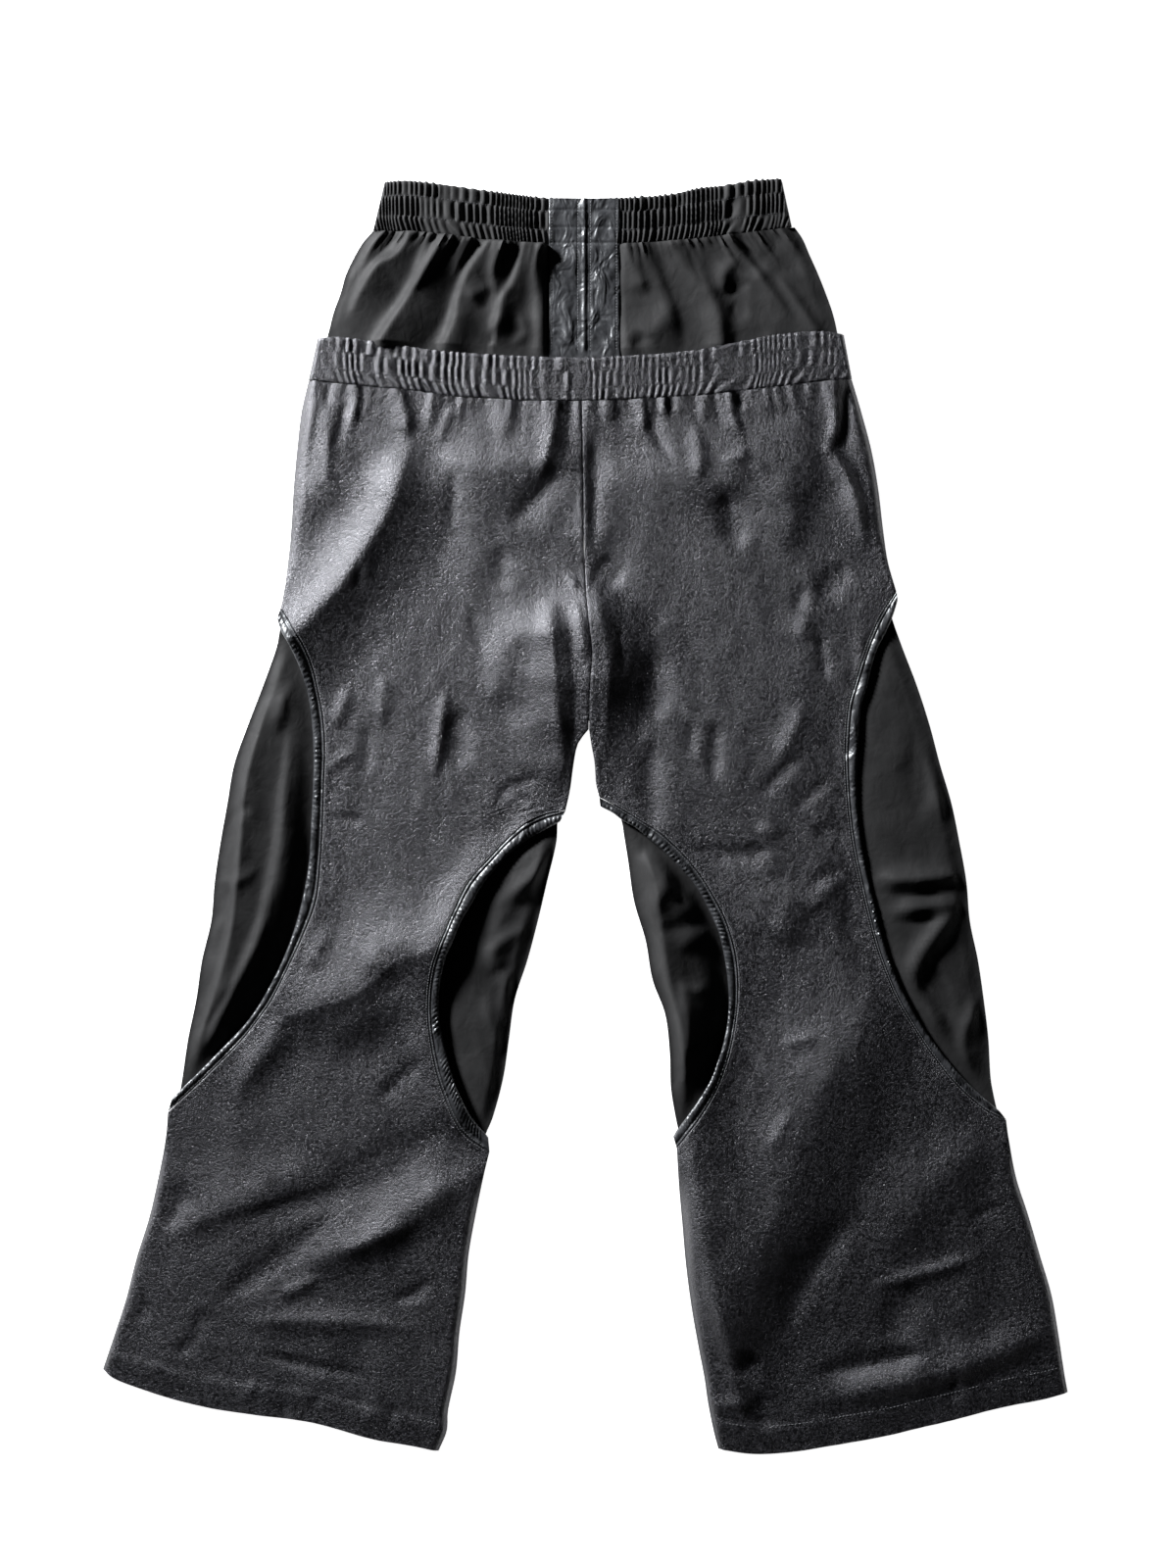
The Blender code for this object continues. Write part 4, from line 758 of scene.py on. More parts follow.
# ---- materials ---------------------------------------------------------------------
class Finish:
    """A procedural material: a Principled shader and the nodes that drive it."""

    def __init__(self, name, uniform):
        self.material = bpy.data.materials.new(name)
        self.material.use_nodes = True
        self.tree = self.material.node_tree
        self.shader = self.tree.nodes["Principled BSDF"]
        for socket, value in uniform.items():
            self.shader.inputs[socket].default_value = value
        self.place = self.node("TexCoord").outputs["Object"]
        self.normal = None

    def node(self, kind, inputs=(), **settings):
        made = self.tree.nodes.new("ShaderNode" + kind)
        for name, value in settings.items():
            setattr(made, name, value)
        for socket, value in dict(inputs).items():
            if isinstance(value, bpy.types.NodeSocket):
                self.tree.links.new(value, made.inputs[socket])
            else:
                made.inputs[socket].default_value = value
        return made

    def scaled(self, size, stretch=(1.0, 1.0, 1.0), turn=0.0):
        """Coordinates in which a length of size mm is 1."""
        scale = [part / (size * MM) for part in stretch]
        inputs = {"Vector": self.place, "Scale": scale, "Rotation": (0.0, 0.0, turn)}
        return self.node("Mapping", inputs).outputs[0]

    def noise(self, size, stretch=(1.0, 1.0, 1.0), detail=2.0, roughness=0.5, distortion=0.0):
        inputs = {"Vector": self.scaled(size, stretch), "Scale": 1.0, "Detail": detail,
                  "Roughness": roughness, "Distortion": distortion}
        return self.node("TexNoise", inputs).outputs["Fac"]

    def cells(self, size):
        inputs = {"Vector": self.scaled(size), "Scale": 1.0}
        return self.node("TexVoronoi", inputs).outputs["Distance"]

    def waves(self, size, turn, distortion):
        inputs = {"Vector": self.scaled(size, turn=turn), "Scale": 0.318,
                  "Distortion": distortion, "Detail": 1.0, "Detail Scale": 1.5}
        return self.node("TexWave", inputs).outputs["Fac"]

    def ranged(self, value, low, high, start=0.3, end=0.7):
        inputs = {"Value": value, "From Min": start, "From Max": end,
                  "To Min": low, "To Max": high}
        return self.node("MapRange", inputs).outputs[0]

    def drive(self, socket, value):
        self.tree.links.new(value, self.shader.inputs[socket])

    def colours(self, value, low, high, start=0.3, end=0.7):
        ramp = self.node("ValToRGB", {"Fac": value})
        for element, position, colour in zip(ramp.color_ramp.elements, (start, end), (low, high)):
            element.position = position
            element.color = (*colour, 1.0)
        self.drive("Base Color", ramp.outputs["Color"])

    def bump(self, height, depth):
        """depth is in mm."""
        inputs = {"Height": height, "Distance": depth * MM, "Strength": 1.0}
        if self.normal:
            inputs["Normal"] = self.normal
        self.normal = self.node("Bump", inputs).outputs["Normal"]
        self.drive("Normal", self.normal)


def coated_cloth():
    """Black cotton twill with a waxed coating: grainy, with a low bluish sheen."""
    finish = Finish("coated_twill", {
        "Specular IOR Level": 1.0, "Specular Tint": (0.95, 0.95, 1.0, 1.0)})
    grain = finish.noise(2.7, (1.0, 1.0, 1.0), 3.0, 0.9)
    finish.colours(grain, (0.0006, 0.0006, 0.0010), (0.021, 0.0205, 0.026), 0.43, 0.66)
    finish.drive("Roughness", finish.ranged(grain, 0.31, 0.53, 0.42, 0.58))
    finish.bump(finish.noise(26.0, (1.4, 0.8, 1.0), 2.0, 0.5, 0.3), 0.7)
    finish.bump(finish.waves(1.1, math.radians(52), 1.5), 0.05)
    finish.bump(grain, 1.0)
    return finish.material


def plain_cloth():
    """Matte black plain-weave cloth, softer and lighter in weight."""
    finish = Finish("matte_plain_weave", {"Specular IOR Level": 0.25})
    finish.colours(finish.noise(20.0, detail=3.0), (0.015, 0.015, 0.0154), (0.0225, 0.0225, 0.023))
    finish.drive("Roughness", finish.ranged(finish.noise(12.0, detail=3.0), 0.66, 0.76))
    finish.bump(finish.noise(16.0, (1.3, 1.0, 1.0), 2.0, 0.5, 0.4), 0.7)
    finish.bump(finish.waves(0.8, 0.0, 0.6), 0.02)
    finish.bump(finish.waves(0.8, math.radians(90), 0.6), 0.02)
    finish.bump(finish.noise(1.2, detail=2.0, roughness=0.6), 0.06)
    return finish.material


def creased_leather():
    """Thin black leather, semi-gloss, creased and finely pebbled."""
    finish = Finish("creased_leather", {
        "Specular IOR Level": 1.0, "Specular Tint": (0.95, 0.98, 1.0, 1.0)})
    finish.colours(finish.noise(6.0, detail=4.0), (0.018, 0.0188, 0.0210), (0.042, 0.0435, 0.048))
    patches = finish.noise(9.0, detail=3.0, roughness=0.6)
    finish.drive("Roughness", finish.ranged(patches, 0.33, 0.48))
    finish.bump(finish.noise(17.0, (1.2, 0.8, 1.0), 2.0, 0.45, 0.8), 4.2)
    finish.bump(finish.noise(4.0, (1.0, 0.8, 1.0), 2.0, 0.5, 0.4), 0.22)
    finish.bump(finish.cells(0.9), 0.04)
    return finish.material


def thread(name, low, high):
    """Twisted thread."""
    finish = Finish(name, {"Roughness": 0.85, "Specular IOR Level": 0.15})
    finish.colours(finish.noise(1.0, detail=1.0), low, high)
    finish.bump(finish.waves(0.35, math.radians(35), 0.2), 0.04)
    return finish.material


MATERIALS = {
    "coated_cloth": coated_cloth(),
    "inner_cloth": plain_cloth(),
    "leather": creased_leather(),
}
DARK_THREAD = thread("dark_thread", (0.040, 0.040, 0.044), (0.070, 0.070, 0.076))
# The stitches on the strips, the hems and the leather are matte, and their pale colour is painted
# highlight: it stands in for the glint of shiny thread.
THREAD_PAINTED_GLINT = thread("thread_painted_glint", (0.14, 0.142, 0.15), (0.22, 0.225, 0.235))


# ---- mesh building -----------------------------------------------------------------
def to_metres(x, down, z):
    return np.stack([x, LENGTH / 2 - down, z], axis=-1).reshape(-1, 3) * MM


def keep(name, points, faces, material, creased=True):
    mesh = bpy.data.meshes.new(name)
    mesh.from_pydata(points.tolist(), [], faces)
    bm = bmesh.new()
    bm.from_mesh(mesh)
    bmesh.ops.recalc_face_normals(bm, faces=bm.faces)
    bm.to_mesh(mesh)
    bm.free()
    mesh.materials.append(material)
    mesh.shade_smooth()
    if creased:
        mesh.set_sharp_from_angle(angle=math.radians(65))
    piece = bpy.data.objects.new(name, mesh)
    bpy.context.scene.collection.objects.link(piece)
    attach(piece, "root")
    return piece


def shell(name, x, down, under, top, slot):
    """A closed thin shell between two heights over a grid in plan."""
    rows, columns = x.shape
    index = np.arange(rows * columns).reshape(rows, columns)
    upper = np.stack([index[:-1, :-1], index[1:, :-1], index[1:, 1:], index[:-1, 1:]], -1)
    upper = upper.reshape(-1, 4)
    count = rows * columns
    edge = np.concatenate([index[:-1, 0], index[-1, :-1], index[:0:-1, -1], index[0, :0:-1]])
    following = np.roll(edge, -1)
    rim = np.column_stack([edge, edge + count, following + count, following])
    faces = np.vstack([upper, upper[:, ::-1] + count, rim])
    points = np.vstack([to_metres(x, down, top), to_metres(x, down, under)])
    return keep(name, points, faces.tolist(), MATERIALS[slot])


def ring(name, x, down, z, slot):
    """A closed tube: a grid wrapped round both ways."""
    rows, columns = x.shape
    index = np.arange(rows * columns).reshape(rows, columns)
    below, right = np.roll(index, -1, axis=0), np.roll(index, -1, axis=1)
    both = np.roll(below, -1, axis=1)
    faces = np.stack([index, below, both, right], -1).reshape(-1, 4)
    return keep(name, to_metres(x, down, z), faces.tolist(), MATERIALS[slot])


STITCH_RINGS = (  # share of the length, share of the radius, drop of the ends
    (0.0, 0.45, 1.0), (0.22, 1.0, 0.15), (0.78, 1.0, 0.15), (1.0, 0.45, 1.0))
STITCH_SIDES = 5


def stitches(name, rows, stitch, material):
    """Rows of separate stitches. Each row is an array of (x, down, z) along a seam."""
    pitch, length, radius = stitch
    points, faces = [], []
    for row in rows:
        runs = np.linalg.norm(np.diff(row, axis=0), axis=1)
        place = np.concatenate([[0.0], np.cumsum(runs)])
        starts = np.arange(0.5 * (pitch - length), place[-1] - length, pitch)
        a = np.column_stack([np.interp(starts, place, row[:, k]) for k in range(3)])
        b = np.column_stack([np.interp(starts + length, place, row[:, k]) for k in range(3)])
        run = b - a
        run /= np.linalg.norm(run, axis=1)[:, None]
        across = np.column_stack([-run[:, 1], run[:, 0], np.zeros(len(run))])
        across /= np.linalg.norm(across, axis=1)[:, None]
        up = np.cross(run, across)
        up *= np.sign(up[:, 2:])
        for start, end, side, lift in zip(a, b, across, up):
            first = len(points)
            for share, thick, drop in STITCH_RINGS:
                middle = start + share * (end - start) - drop * 0.7 * radius * lift
                for k in range(STITCH_SIDES):
                    turn = 2.0 * math.pi * k / STITCH_SIDES
                    points.append(middle + thick * radius * (
                        math.cos(turn) * side + 0.7 * math.sin(turn) * lift))
            for k in range(STITCH_SIDES):
                following = (k + 1) % STITCH_SIDES
                for step in range(len(STITCH_RINGS) - 1):
                    low, high = first + step * STITCH_SIDES, first + (step + 1) * STITCH_SIDES
                    faces.append((low + k, low + following, high + following, high + k))
            for step in (0, len(STITCH_RINGS) - 1):
                faces.append(tuple(first + step * STITCH_SIDES + k for k in range(STITCH_SIDES)))
    points = to_metres(*np.array(points).T)
    return keep(name, points, faces, material, creased=False)


# ---- panels ------------------------------------------------------------------------
def hidden_creases(folds, x, down):
    """Shallow creases on a side that rests flat."""
    return np.clip(0.12 * np.abs(fold_heights(folds, x, down)), 0.0, HIDDEN_CREASE)


def seam_form(away):
    """Height of a panel's edge beside a topstitched seam."""
    return -0.55 * np.exp(-((away / 0.8) ** 2)) + 0.28 * np.exp(-(((away - 3.0) / 2.2) ** 2))


def outer_panels(leg, levels):
    """The upper and the lower panel of one outer leg."""
    x, down = outer_plan(leg, levels, OUTER_COLUMNS)
    under = leg.outer_floor(x, down)
    above_hem = leg.hem(x) - down
    wall = CLOTH + HEM_EXTRA * smooth_step((HEM_DEPTH + 1.5 - above_hem) / 3.0)
    wall = wall - 0.45 * np.exp(-(((above_hem - HEM_DEPTH + 2.0) / 1.0) ** 2))
    ripple = soft_noise(41, 5.0, 16.0, x - 0.35 * down, down)
    wall = wall + 0.28 * ripple * smooth_step((HEM_DEPTH + 6.0 - above_hem) / 8.0)
    seams = seam_form(np.abs(x - leg.left.x(down))) + seam_form(np.abs(x - leg.right.x(down)))
    back = shell("back_" + leg.name, x, down, under, under + wall + 0.6 * seams, "coated_cloth")
    x, down = outer_plan(leg, levels, OUTER_HIDDEN_COLUMNS)
    x, down = x[::2], down[::2]
    under = hidden_creases(leg.folds, x, down)
    down = down + np.where(np.arange(len(x)) == 0, 1.2, 0.0)[:, None]
    front = shell("front_" + leg.name, x, down, under, 0.0 * x + CLOTH, "coated_cloth")
    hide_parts("outer_back_" + leg.name)
    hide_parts("outer_front_" + leg.name)
    return back, front


def inner_plan(leg, slack, steps, columns):
    """x and down of every point of an inner panel, from its left to its right edge."""
    rows = rows_of(INNER_LEVELS, steps)
    outseam = leg.inner_left if leg.hand < 0 else leg.inner_right
    inseam = leg.inner_right if leg.hand < 0 else leg.inner_left
    in_x = np.where(rows[:, 1] > INNER_CROTCH, inseam(rows[:, 1]), INNER_SEAM)
    centre = np.column_stack([in_x + leg.hand * GAP / 2, rows[:, 1]])
    side = np.column_stack([outseam(rows[:, 0]), rows[:, 0]])
    even = np.arange(columns + 1) / columns
    spread = smooth_step((rows[:, 1:] - SHOWN_START) / CROWD_REACH)
    places = even - spread * CROWD * np.sin(2.0 * math.pi * even) / (2.0 * math.pi)
    x = centre[:, :1] + places * (side - centre)[:, :1]
    down = centre[:, 1:] + places * (side - centre)[:, 1:]
    waist = np.clip(1.0 - (rows[:, 1:] - rows[0, 1]) / INNER_WAIST_REACH, 0.0, 1.0) ** 2
    ankle = np.clip((rows[:, 1:] - ANKLE_START) / ANKLE_REACH, 0.0, 1.0) ** 2
    down = down + waist * (bow(inner_band_bottom, centre[0], side[0], x) + GAP + slack)
    down = down + ankle * bow(lambda at: leg.hem(at) - INNER_END, centre[-1], side[-1], x)
    if leg.hand < 0:
        x, down = x[:, ::-1], down[:, ::-1]
    return x, down


def inner_panels(leg):
    x, down = inner_plan(leg, 0.0, INNER_ROW_STEPS, INNER_COLUMNS)
    under = leg.inner_floor(x, down)
    back = shell("inner_cloth_back_" + leg.name, x, down, under, under + CLOTH, "inner_cloth")
    x, down = inner_plan(leg, 1.2, [6.0] * 5, INNER_HIDDEN_COLUMNS)
    creases = hidden_creases(leg.shown_folds, x, down) + 0.2 * (
        1.0 + soft_noise(33, 8.0, 30.0, x, down)) * smooth_step((95.0 - down) / 30.0)
    rest = inner_rest(down)
    under = rest + np.clip(creases, 0.0, HIDDEN_CREASE)
    front = shell("inner_cloth_front_" + leg.name, x, down, under, rest + CLOTH, "inner_cloth")
    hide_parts("inner_back_" + leg.name)
    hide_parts("inner_front_" + leg.name)
    return back, front


# ---- waistbands --------------------------------------------------------------------
class Band:
    """A flattened elastic waistband: a gathered tube."""

    def __init__(self, seed, top, bottom, ends, walls, ceiling, tilt, pitch, gather,
                 sharpness, bulge, lean, rows, flats):
        self.seed, self.top, self.bottom, self.ends = seed, along(top), along(bottom), ends
        self.under_wall, self.upper_wall = walls
        self.ceiling, self.tilt = ceiling, tilt  # its top edge stands this much higher
        self.middle = (ceiling + self.under_wall) / 2
        self.pitch, self.gather, self.sharpness = pitch, gather, sharpness
        self.bulge, self.lean = along(bulge), along(lean)  # rows of (depth, share)
        self.rows, self.flats = rows, flats
        self.lit = 0.36  # share of a gather that faces the light

    def gathered(self, x):
        """1 where the band is gathered, 0 in its flat stretches, given as
        (middle, half-width, how flat)."""
        full = np.ones(np.shape(x))
        for middle, half, flatness in self.flats:
            full = full * (1.0 - flatness * smooth_step(1.5 - np.abs(x - middle) / half))
        return full

    def ridges(self, x, depth):
        """Height of the gathers: round ridges with sharp valleys, pinched at each row of
        stitching and shifted a little between the rows."""
        strip = sum(smooth_step((depth - row) / 0.05 + 0.5) for row in self.rows)
        shift = 0.42 * soft_noise(self.seed + 1, 9.0, 1.0, x, strip * 1.3)
        drift = 1.5 * soft_noise(self.seed + 2, 24.0, 9.0, x, 0.0 * x)
        slant = self.lean(depth) * np.clip(x / 120.0, -1.0, 1.0)
        phase = x / self.pitch + shift + drift + slant
        uneven = 0.74 + 0.5 * soft_noise(self.seed + 3, 6.0, 1.0, x, strip * 1.1)
        t = phase % 1.0
        t = np.where(t < self.lit, 0.5 * t / self.lit,
                     0.5 + 0.5 * (t - self.lit) / (1.0 - self.lit))
        ridge = np.abs(np.sin(math.pi * t)) ** self.sharpness
        return self.gather * uneven * self.bulge(depth) * (ridge - 0.5) * self.gathered(x)

    def round_over(self, from_end, radius, far):
        """Height near an end of the flattened tube, as it rounds from mid-height."""
        t = np.clip(1.0 - from_end / radius, 0.0, 1.0)
        return self.middle + (far - self.middle) * np.sqrt(1.0 - t**2)

    def place(self, share, depth):
        x_left = self.ends[0][0] + depth * (self.ends[1][0] - self.ends[0][0])
        x_right = self.ends[0][1] + depth * (self.ends[1][1] - self.ends[0][1])
        x = x_left + share * (x_right - x_left)
        down = self.top(x) + depth * (self.bottom(x) - self.top(x))
        return x, down, np.minimum(x - x_left, x_right - x)

    def outside(self, share, depth, upper):
        """x, down and z of the outer surface."""
        x, down, from_end = self.place(share, depth)
        ridge = self.ridges(x, depth) if upper else self.ridges(x + 3.0, 1.0 - depth)
        rim = np.minimum(depth, 1.0 - depth) * (self.bottom(0.0) - self.top(0.0))
        edge = 0.7 * (1.0 - smooth_step(rim / 1.6))
        fade = smooth_step(from_end / FOLD_RADIUS)
        down = down - 0.55 * ridge * np.exp(-((depth / 0.07) ** 2)) * fade
        if upper:
            far = self.ceiling + self.upper_wall + ridge - edge + self.tilt * (1.0 - depth)
        else:
            far = np.clip(0.35 - 0.3 * ridge, 0.0, 0.9) * fade + 0.5 * edge
        return x, down, self.round_over(from_end, FOLD_RADIUS, far)

    def inside(self, share, depth, upper):
        x, down, from_end = self.place(share, depth)
        inner = FOLD_RADIUS - self.under_wall
        inward = np.where(share < 0.5, 1.0, -1.0)
        near = np.minimum(from_end, FOLD_RADIUS)
        x = x + inward * (self.under_wall * (1.0 - near / FOLD_RADIUS))
        return x, down, self.round_over(near * inner / FOLD_RADIUS, inner,
                                        self.ceiling if upper else self.under_wall)

    def build(self, name, node, slot, column_step):
        width = self.ends[0][1] - self.ends[0][0]
        over = np.linspace(0.0, 1.0, round(width / column_step))
        back = np.linspace(1.0, 0.0, round(width / (2.0 * column_step)))[1:-1]
        lines = []
        for depth, surface in [(d, self.outside) for d in BAND_DEPTHS] + [
                (d, self.inside) for d in BAND_INSIDE_DEPTHS]:
            upper = surface(over, np.full(over.shape, depth), True)
            lower = surface(back, np.full(back.shape, depth), False)
            lines.append([np.concatenate(pair) for pair in zip(upper, lower)])
        x, down, z = np.array(lines).transpose(1, 0, 2)
        piece = ring(name, x, down, z, slot)
        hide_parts(node)
        return piece

    def stitch_row(self, depth, start=0.02, end=0.98, count=420):
        share = np.linspace(start, end, count)
        x, down, z = self.outside(share, np.full(count, depth), True)
        return np.column_stack([x, down, z + 0.1])


INNER_BAND = Band(
    51, INNER_BAND_TOP, INNER_BAND_BOTTOM, ((-174, 170), (-184, 179)),
    (ELASTIC_WALL, ELASTIC_WALL), ELASTIC_WALL + BAND_AIR, 0.0,
    pitch=4.7, gather=4.2, sharpness=1.5,
    bulge=((0.0, 0.75), (0.12, 1.0), (0.24, 0.8), (0.29, 0.3), (0.34, 0.8), (0.48, 1.1),
           (0.63, 0.85), (0.69, 0.3), (0.75, 0.8), (0.87, 1.1), (1.0, 0.7)),
    lean=((0.0, 0.0), (0.69, 0.1), (1.0, 0.9)),
    rows=(0.29, 0.69), flats=((LEATHER_CENTRE, 22.0, 1.0),))
OUTER_BAND = Band(
    61, OUTER_BAND_TOP, OUTER_BAND_BOTTOM, ((-232, 224), (-240, 231)),
    (CLOTH, OUTER_BAND_WALL), OUTER_BAND_CEILING, 2.2,
    pitch=7.8, gather=1.6, sharpness=1.8,
    bulge=((0.0, 0.6), (0.12, 0.9), (0.25, 0.85), (0.31, 0.45), (0.37, 0.85), (0.5, 1.0),
           (0.64, 0.85), (0.70, 0.4), (0.76, 0.9), (0.9, 1.1), (1.0, 0.7)),
    lean=((0.0, 0.0), (0.68, 0.05), (1.0, 0.8)),
    rows=(0.31, 0.70),
    flats=((-230.0, 14.0, 0.85), (219.0, 9.0, 0.7), (-4.0, 8.0, 0.9), (-48.0, 10.0, 0.5),
           (60.0, 60.0, 0.45), (170.0, 50.0, 0.45)))


# ---- centre panel and strips -------------------------------------------------------
def leather_ground(x, down):
    """z of what the centre panel lies on."""
    band_top = INNER_BAND.ceiling + ELASTIC_WALL
    hips = np.where(x < INNER_SEAM, LEFT.inner_floor(x, down), RIGHT.inner_floor(x, down))
    hips = hips + CLOTH
    below_band = np.where(down < 65.0, np.maximum(hips, band_top), hips)
    return np.where(down < 50.0, band_top, below_band)


def leather_top(x, down):
    """z of the centre panel's upper side: welted in the middle, pinched by stitching."""
    across = x - LEATHER_CENTRE
    wall = LEATHER_WALL + 0.55 * soft_noise(71, 6.0, 14.0, x, down)
    wall = wall + 0.22 * np.abs(soft_noise(72, 9.0, 7.0, x + 0.4 * down, down))
    welt = 0.9 * np.exp(-((across / 1.6) ** 2))
    wall = wall + welt - 0.5 * np.exp(-(((across - 3.0) / 0.8) ** 2))
    for line in LEATHER_SEWING:
        wall = wall - 0.4 * np.exp(-(((np.abs(across) - line) / 0.9) ** 2))
    for row in LEATHER_PINCHES:
        wall = wall - 0.5 * np.exp(-(((down - row) / 1.1) ** 2))
    rim = 1.0 - smooth_step((LEATHER_HALF_WIDTH - np.abs(across)) / 1.4)
    return leather_ground(x, down) + GAP + np.maximum(wall, 0.45) * (1.0 - 0.45 * rim)


def centre_panel():
    across = np.linspace(-1.0, 1.0, LEATHER_COLUMNS)
    rows = np.linspace(LEATHER_TOP, LEATHER_END, LEATHER_ROWS)
    x = LEATHER_CENTRE + LEATHER_HALF_WIDTH * np.broadcast_to(across, (len(rows), len(across)))
    down = np.broadcast_to(rows[:, None], x.shape)
    tucked = smooth_step((down - 146.0) / 10.0)
    under = leather_ground(x, down) + GAP
    top = leather_top(x, down)
    top = top - tucked * (top - under - 0.8)
    piece = shell("centre_panel_leather", x, down, under, top, "leather")
    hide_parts("centre_panel")
    return piece


STRIP_PROFILE = along((  # height of the upper side across the strip, sewn edge to free edge
    (0.0, 0.6), (0.05, 1.0), (0.12, 1.3), (0.2, 1.15), (0.26, 0.6), (0.34, 1.15), (0.52, 1.95),
    (0.74, 2.1), (0.9, 1.6), (1.0, 0.6)))


def even_run(curve, span, count):
    """Points (x, down) at equal lengths along a curve, over a span of downs."""
    down = np.linspace(span[0], span[1], 600)
    x = curve(down)
    place = np.concatenate([[0.0], np.cumsum(np.hypot(np.diff(x), np.diff(down)))])
    even = np.linspace(0.0, place[-1], count)
    return np.column_stack([np.interp(even, place, x), np.interp(even, place, down)]), place[-1]


def strips(leg, side, outward, name):
    """The strip sewn round one cut-out, on the upper panel and on the lower one."""
    sewn, length = even_run(side.stitch, (side.top, side.bottom), STRIP_ROWS)
    sewn = shifted(sewn, outward * GAP / 2)
    free = even_run(side.free, side.free_span, STRIP_ROWS)[0]
    across = np.array(STRIP_COLUMNS)
    x = sewn[:, :1] + across * (free - sewn)[:, :1]
    down = sewn[:, 1:] + across * (free - sewn)[:, 1:]
    under = leg.outer_floor(x, down)
    place = np.linspace(0.0, length, STRIP_ROWS)[:, None]
    wander = 0.35 * soft_noise(81, 14.0, 1.0, place, 0.0 * place)
    pucker = np.sin(2.0 * math.pi * (place / PUCKER_PITCH + 0.9 * across + wander))
    rolled = smooth_step((across - 0.28) / 0.2) * (1.0 - 0.5 * smooth_step((across - 0.85) / 0.15))
    uneven = 0.75 + 0.4 * soft_noise(82, 9.0, 1.0, place, 0.0 * place)
    wall = STRIP_PROFILE(across) + 0.6 * pucker * rolled * uneven
    upper = shell("edging_" + name + "_back", x, down, under, under + wall, "leather")
    low = 0.0 * x[::3, ::4]
    lower = shell("edging_" + name + "_front", x[::3, ::4], down[::3, ::4], low, low + CLOTH,
                  "leather")
    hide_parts("strip_" + name + "_back")
    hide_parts("strip_" + name + "_front")
    on_strip = np.column_stack([x[:, 2], down[:, 2], (under + wall)[:, 2] + 0.05])
    beside = shifted(sewn, -outward * 1.2)
    top = leg.outer_floor(beside[:, 0], beside[:, 1]) + CLOTH + THREAD_CLEAR
    on_panel = np.column_stack([beside, top])
    sewing = stitches("stitches_" + name, [on_strip[3:-3], on_panel[3:-3]], STRIP_STITCH,
                      THREAD_PAINTED_GLINT)
    return upper, lower, sewing


def hem_stitches(leg):
    x = np.linspace(leg.left.x(1005.0) + 3.0, leg.right.x(1060.0) - 3.0, 260)
    down = leg.hem(x) - HEM_DEPTH + 2.0
    inside = (x > leg.left.x(down) + 2.0) & (x < leg.right.x(down) - 2.0)
    x, down = x[inside], down[inside]
    z = leg.outer_floor(x, down) + CLOTH + THREAD_CLEAR
    row = np.column_stack([x, down, z + 0.1])
    return stitches("stitches_hem_" + leg.name, [row], HEM_STITCH, THREAD_PAINTED_GLINT)


def leather_stitches():
    down = np.linspace(LEATHER_TOP + 2.0, 150.0, 160)
    rows = []
    for across in (-LEATHER_SEWING[1], -LEATHER_SEWING[0], *LEATHER_SEWING):
        x = np.full(down.shape, LEATHER_CENTRE + across)
        rows.append(np.column_stack([x, down, leather_top(x, down) + 0.12]))
    return stitches("stitches_centre", rows, LEATHER_STITCH, THREAD_PAINTED_GLINT)


# ---- the garment -------------------------------------------------------------------
def garment():
    inner_band = INNER_BAND.build(
        "inner_elastic_casing", "inner_waistband", "inner_cloth", 0.62)
    outer_band = OUTER_BAND.build(
        "outer_elastic_casing", "outer_waistband", "coated_cloth", 0.75)
    inner_sewing = stitches(
        "stitches_inner_band", [INNER_BAND.stitch_row(depth) for depth in INNER_BAND.rows],
        BAND_STITCH, DARK_THREAD)
    outer_sewing = stitches(
        "stitches_outer_band", [OUTER_BAND.stitch_row(depth) for depth in OUTER_BAND.rows],
        BAND_STITCH, DARK_THREAD)
    panel = centre_panel()
    panel_sewing = leather_stitches()
    for leg, levels in ((LEFT, LEFT_LEVELS), (RIGHT, RIGHT_LEVELS)):
        back, front = outer_panels(leg, levels)
        inner_back, inner_front = inner_panels(leg)
        hem = hem_stitches(leg)
        for side, outward, hand in ((leg.left, -1, "left"), (leg.right, 1, "right")):
            strips(leg, side, outward, leg.name + "_leg_" + hand)


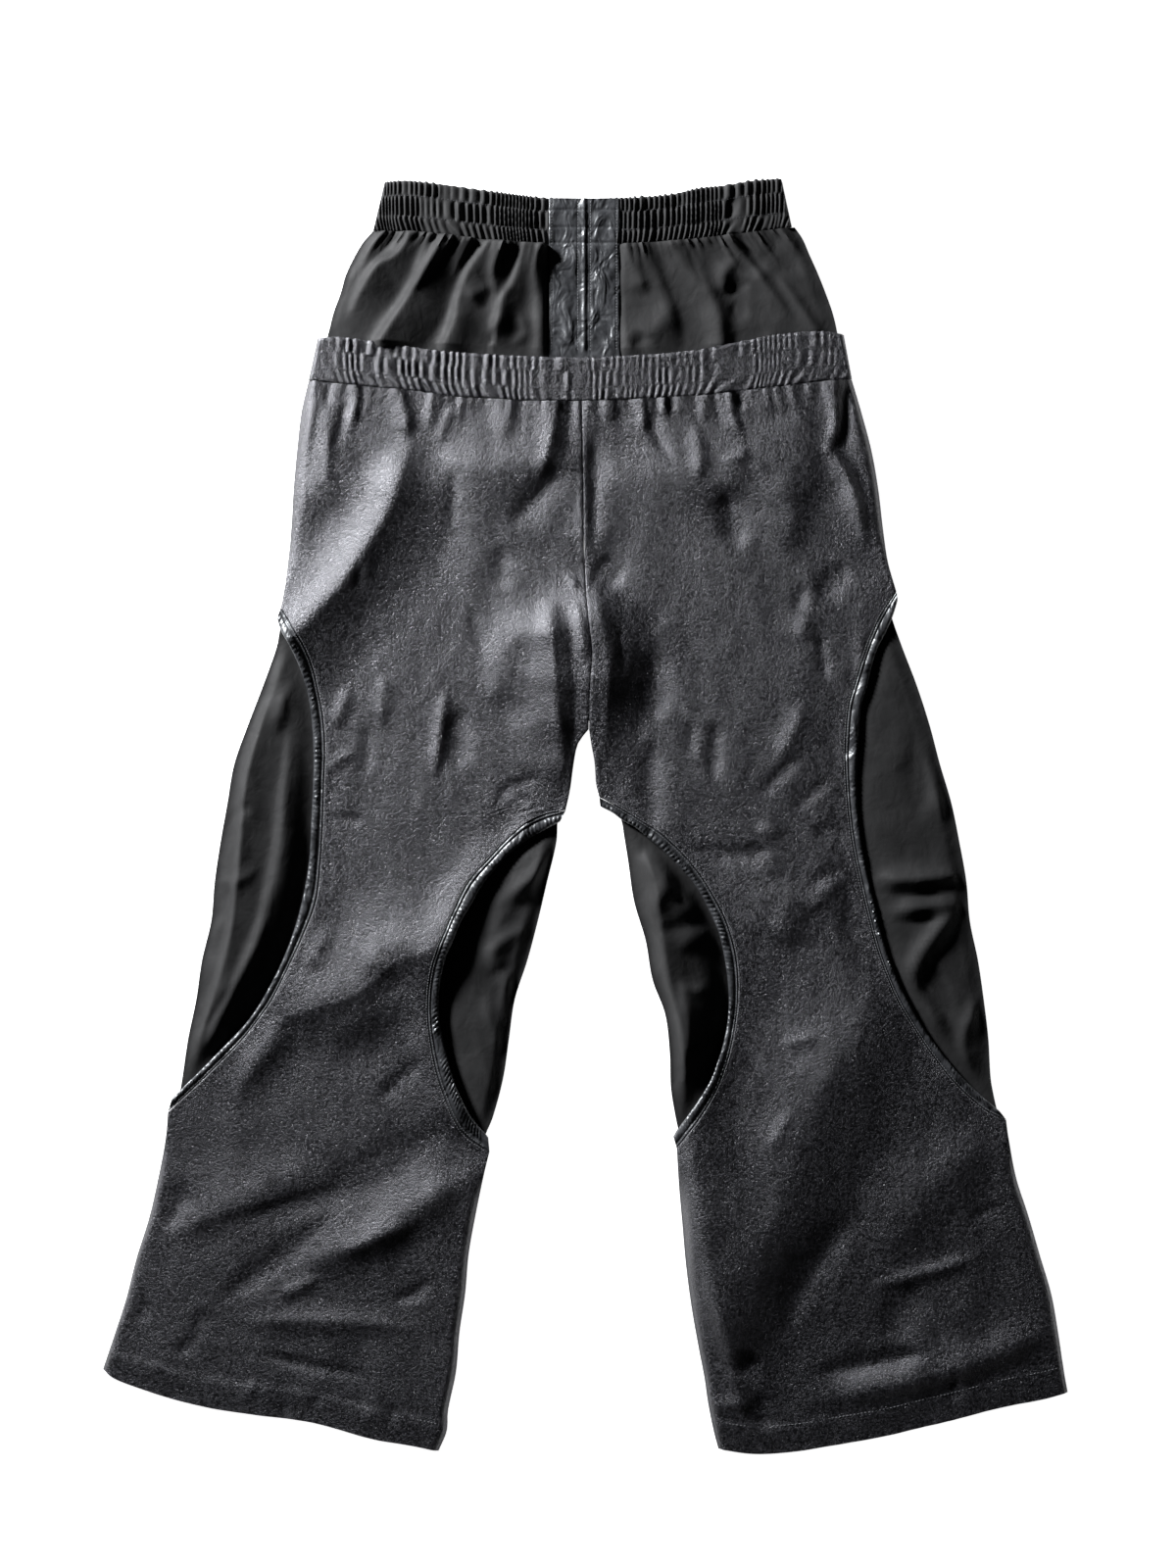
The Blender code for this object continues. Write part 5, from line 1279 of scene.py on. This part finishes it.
# ---- floor, light and camera -------------------------------------------------------
# Here places are (x, y, z) in metres.
VIEW_CENTRE = (2.3 * MM, 27.6 * MM)
CAMERA_HEIGHT = 2.6
KEY_LIGHT = {"at": (-1.6, 1.5, 0.72), "size": 0.40, "power": 170.0, "colour": (0.97, 0.98, 1.0)}
FILL_LIGHT = {"at": (1.6, -0.6, 1.7), "size": 1.8, "power": 0.15, "colour": (1.0, 1.0, 1.0)}
AMBIENT = {"colour": (0.92, 0.95, 1.0), "strength": 0.005}
FLOOR_SIZE = 8.0  # m


def floor():
    finish = Finish("pale_floor", {
        "Roughness": 0.9, "Emission Color": (1.0, 1.0, 1.0, 1.0), "Emission Strength": 1.0})
    finish.colours(finish.noise(60.0), (0.90, 0.90, 0.90), (0.93, 0.93, 0.93))
    bpy.ops.mesh.primitive_plane_add(size=FLOOR_SIZE, location=(0.0, 0.0, -0.0005))
    plane = bpy.context.object
    plane.name = "floor"
    plane.data.materials.append(finish.material)


def area_light(name, at, size, power, colour):
    light = bpy.data.lights.new(name, "AREA")
    light.shape = "DISK"
    light.size, light.energy, light.color = size, power, colour
    lamp = bpy.data.objects.new(name, light)
    lamp.location = at
    direction = -lamp.location
    lamp.rotation_euler = direction.to_track_quat("-Z", "Y").to_euler()
    lamp.visible_camera = False
    bpy.context.scene.collection.objects.link(lamp)


def stage():
    floor()
    area_light("key", **KEY_LIGHT)
    area_light("fill", **FILL_LIGHT)
    world = bpy.data.worlds.new("studio")
    world.use_nodes = True
    background = world.node_tree.nodes["Background"]
    background.inputs["Color"].default_value = (*AMBIENT["colour"], 1.0)
    background.inputs["Strength"].default_value = AMBIENT["strength"]
    bpy.context.scene.world = world
    bpy.context.scene.view_settings.view_transform = "Standard"


def camera():
    data = bpy.data.cameras.new("camera")
    data.sensor_fit = "VERTICAL"
    data.sensor_height = 36.0
    data.lens = data.sensor_height * CAMERA_HEIGHT / (PHOTO_SIZE[1] * PIXEL * MM)
    made = bpy.data.objects.new("camera", data)
    made.location = (*VIEW_CENTRE, CAMERA_HEIGHT)
    bpy.context.scene.collection.objects.link(made)
    bpy.context.scene.camera = made


stage()
camera()
garment()
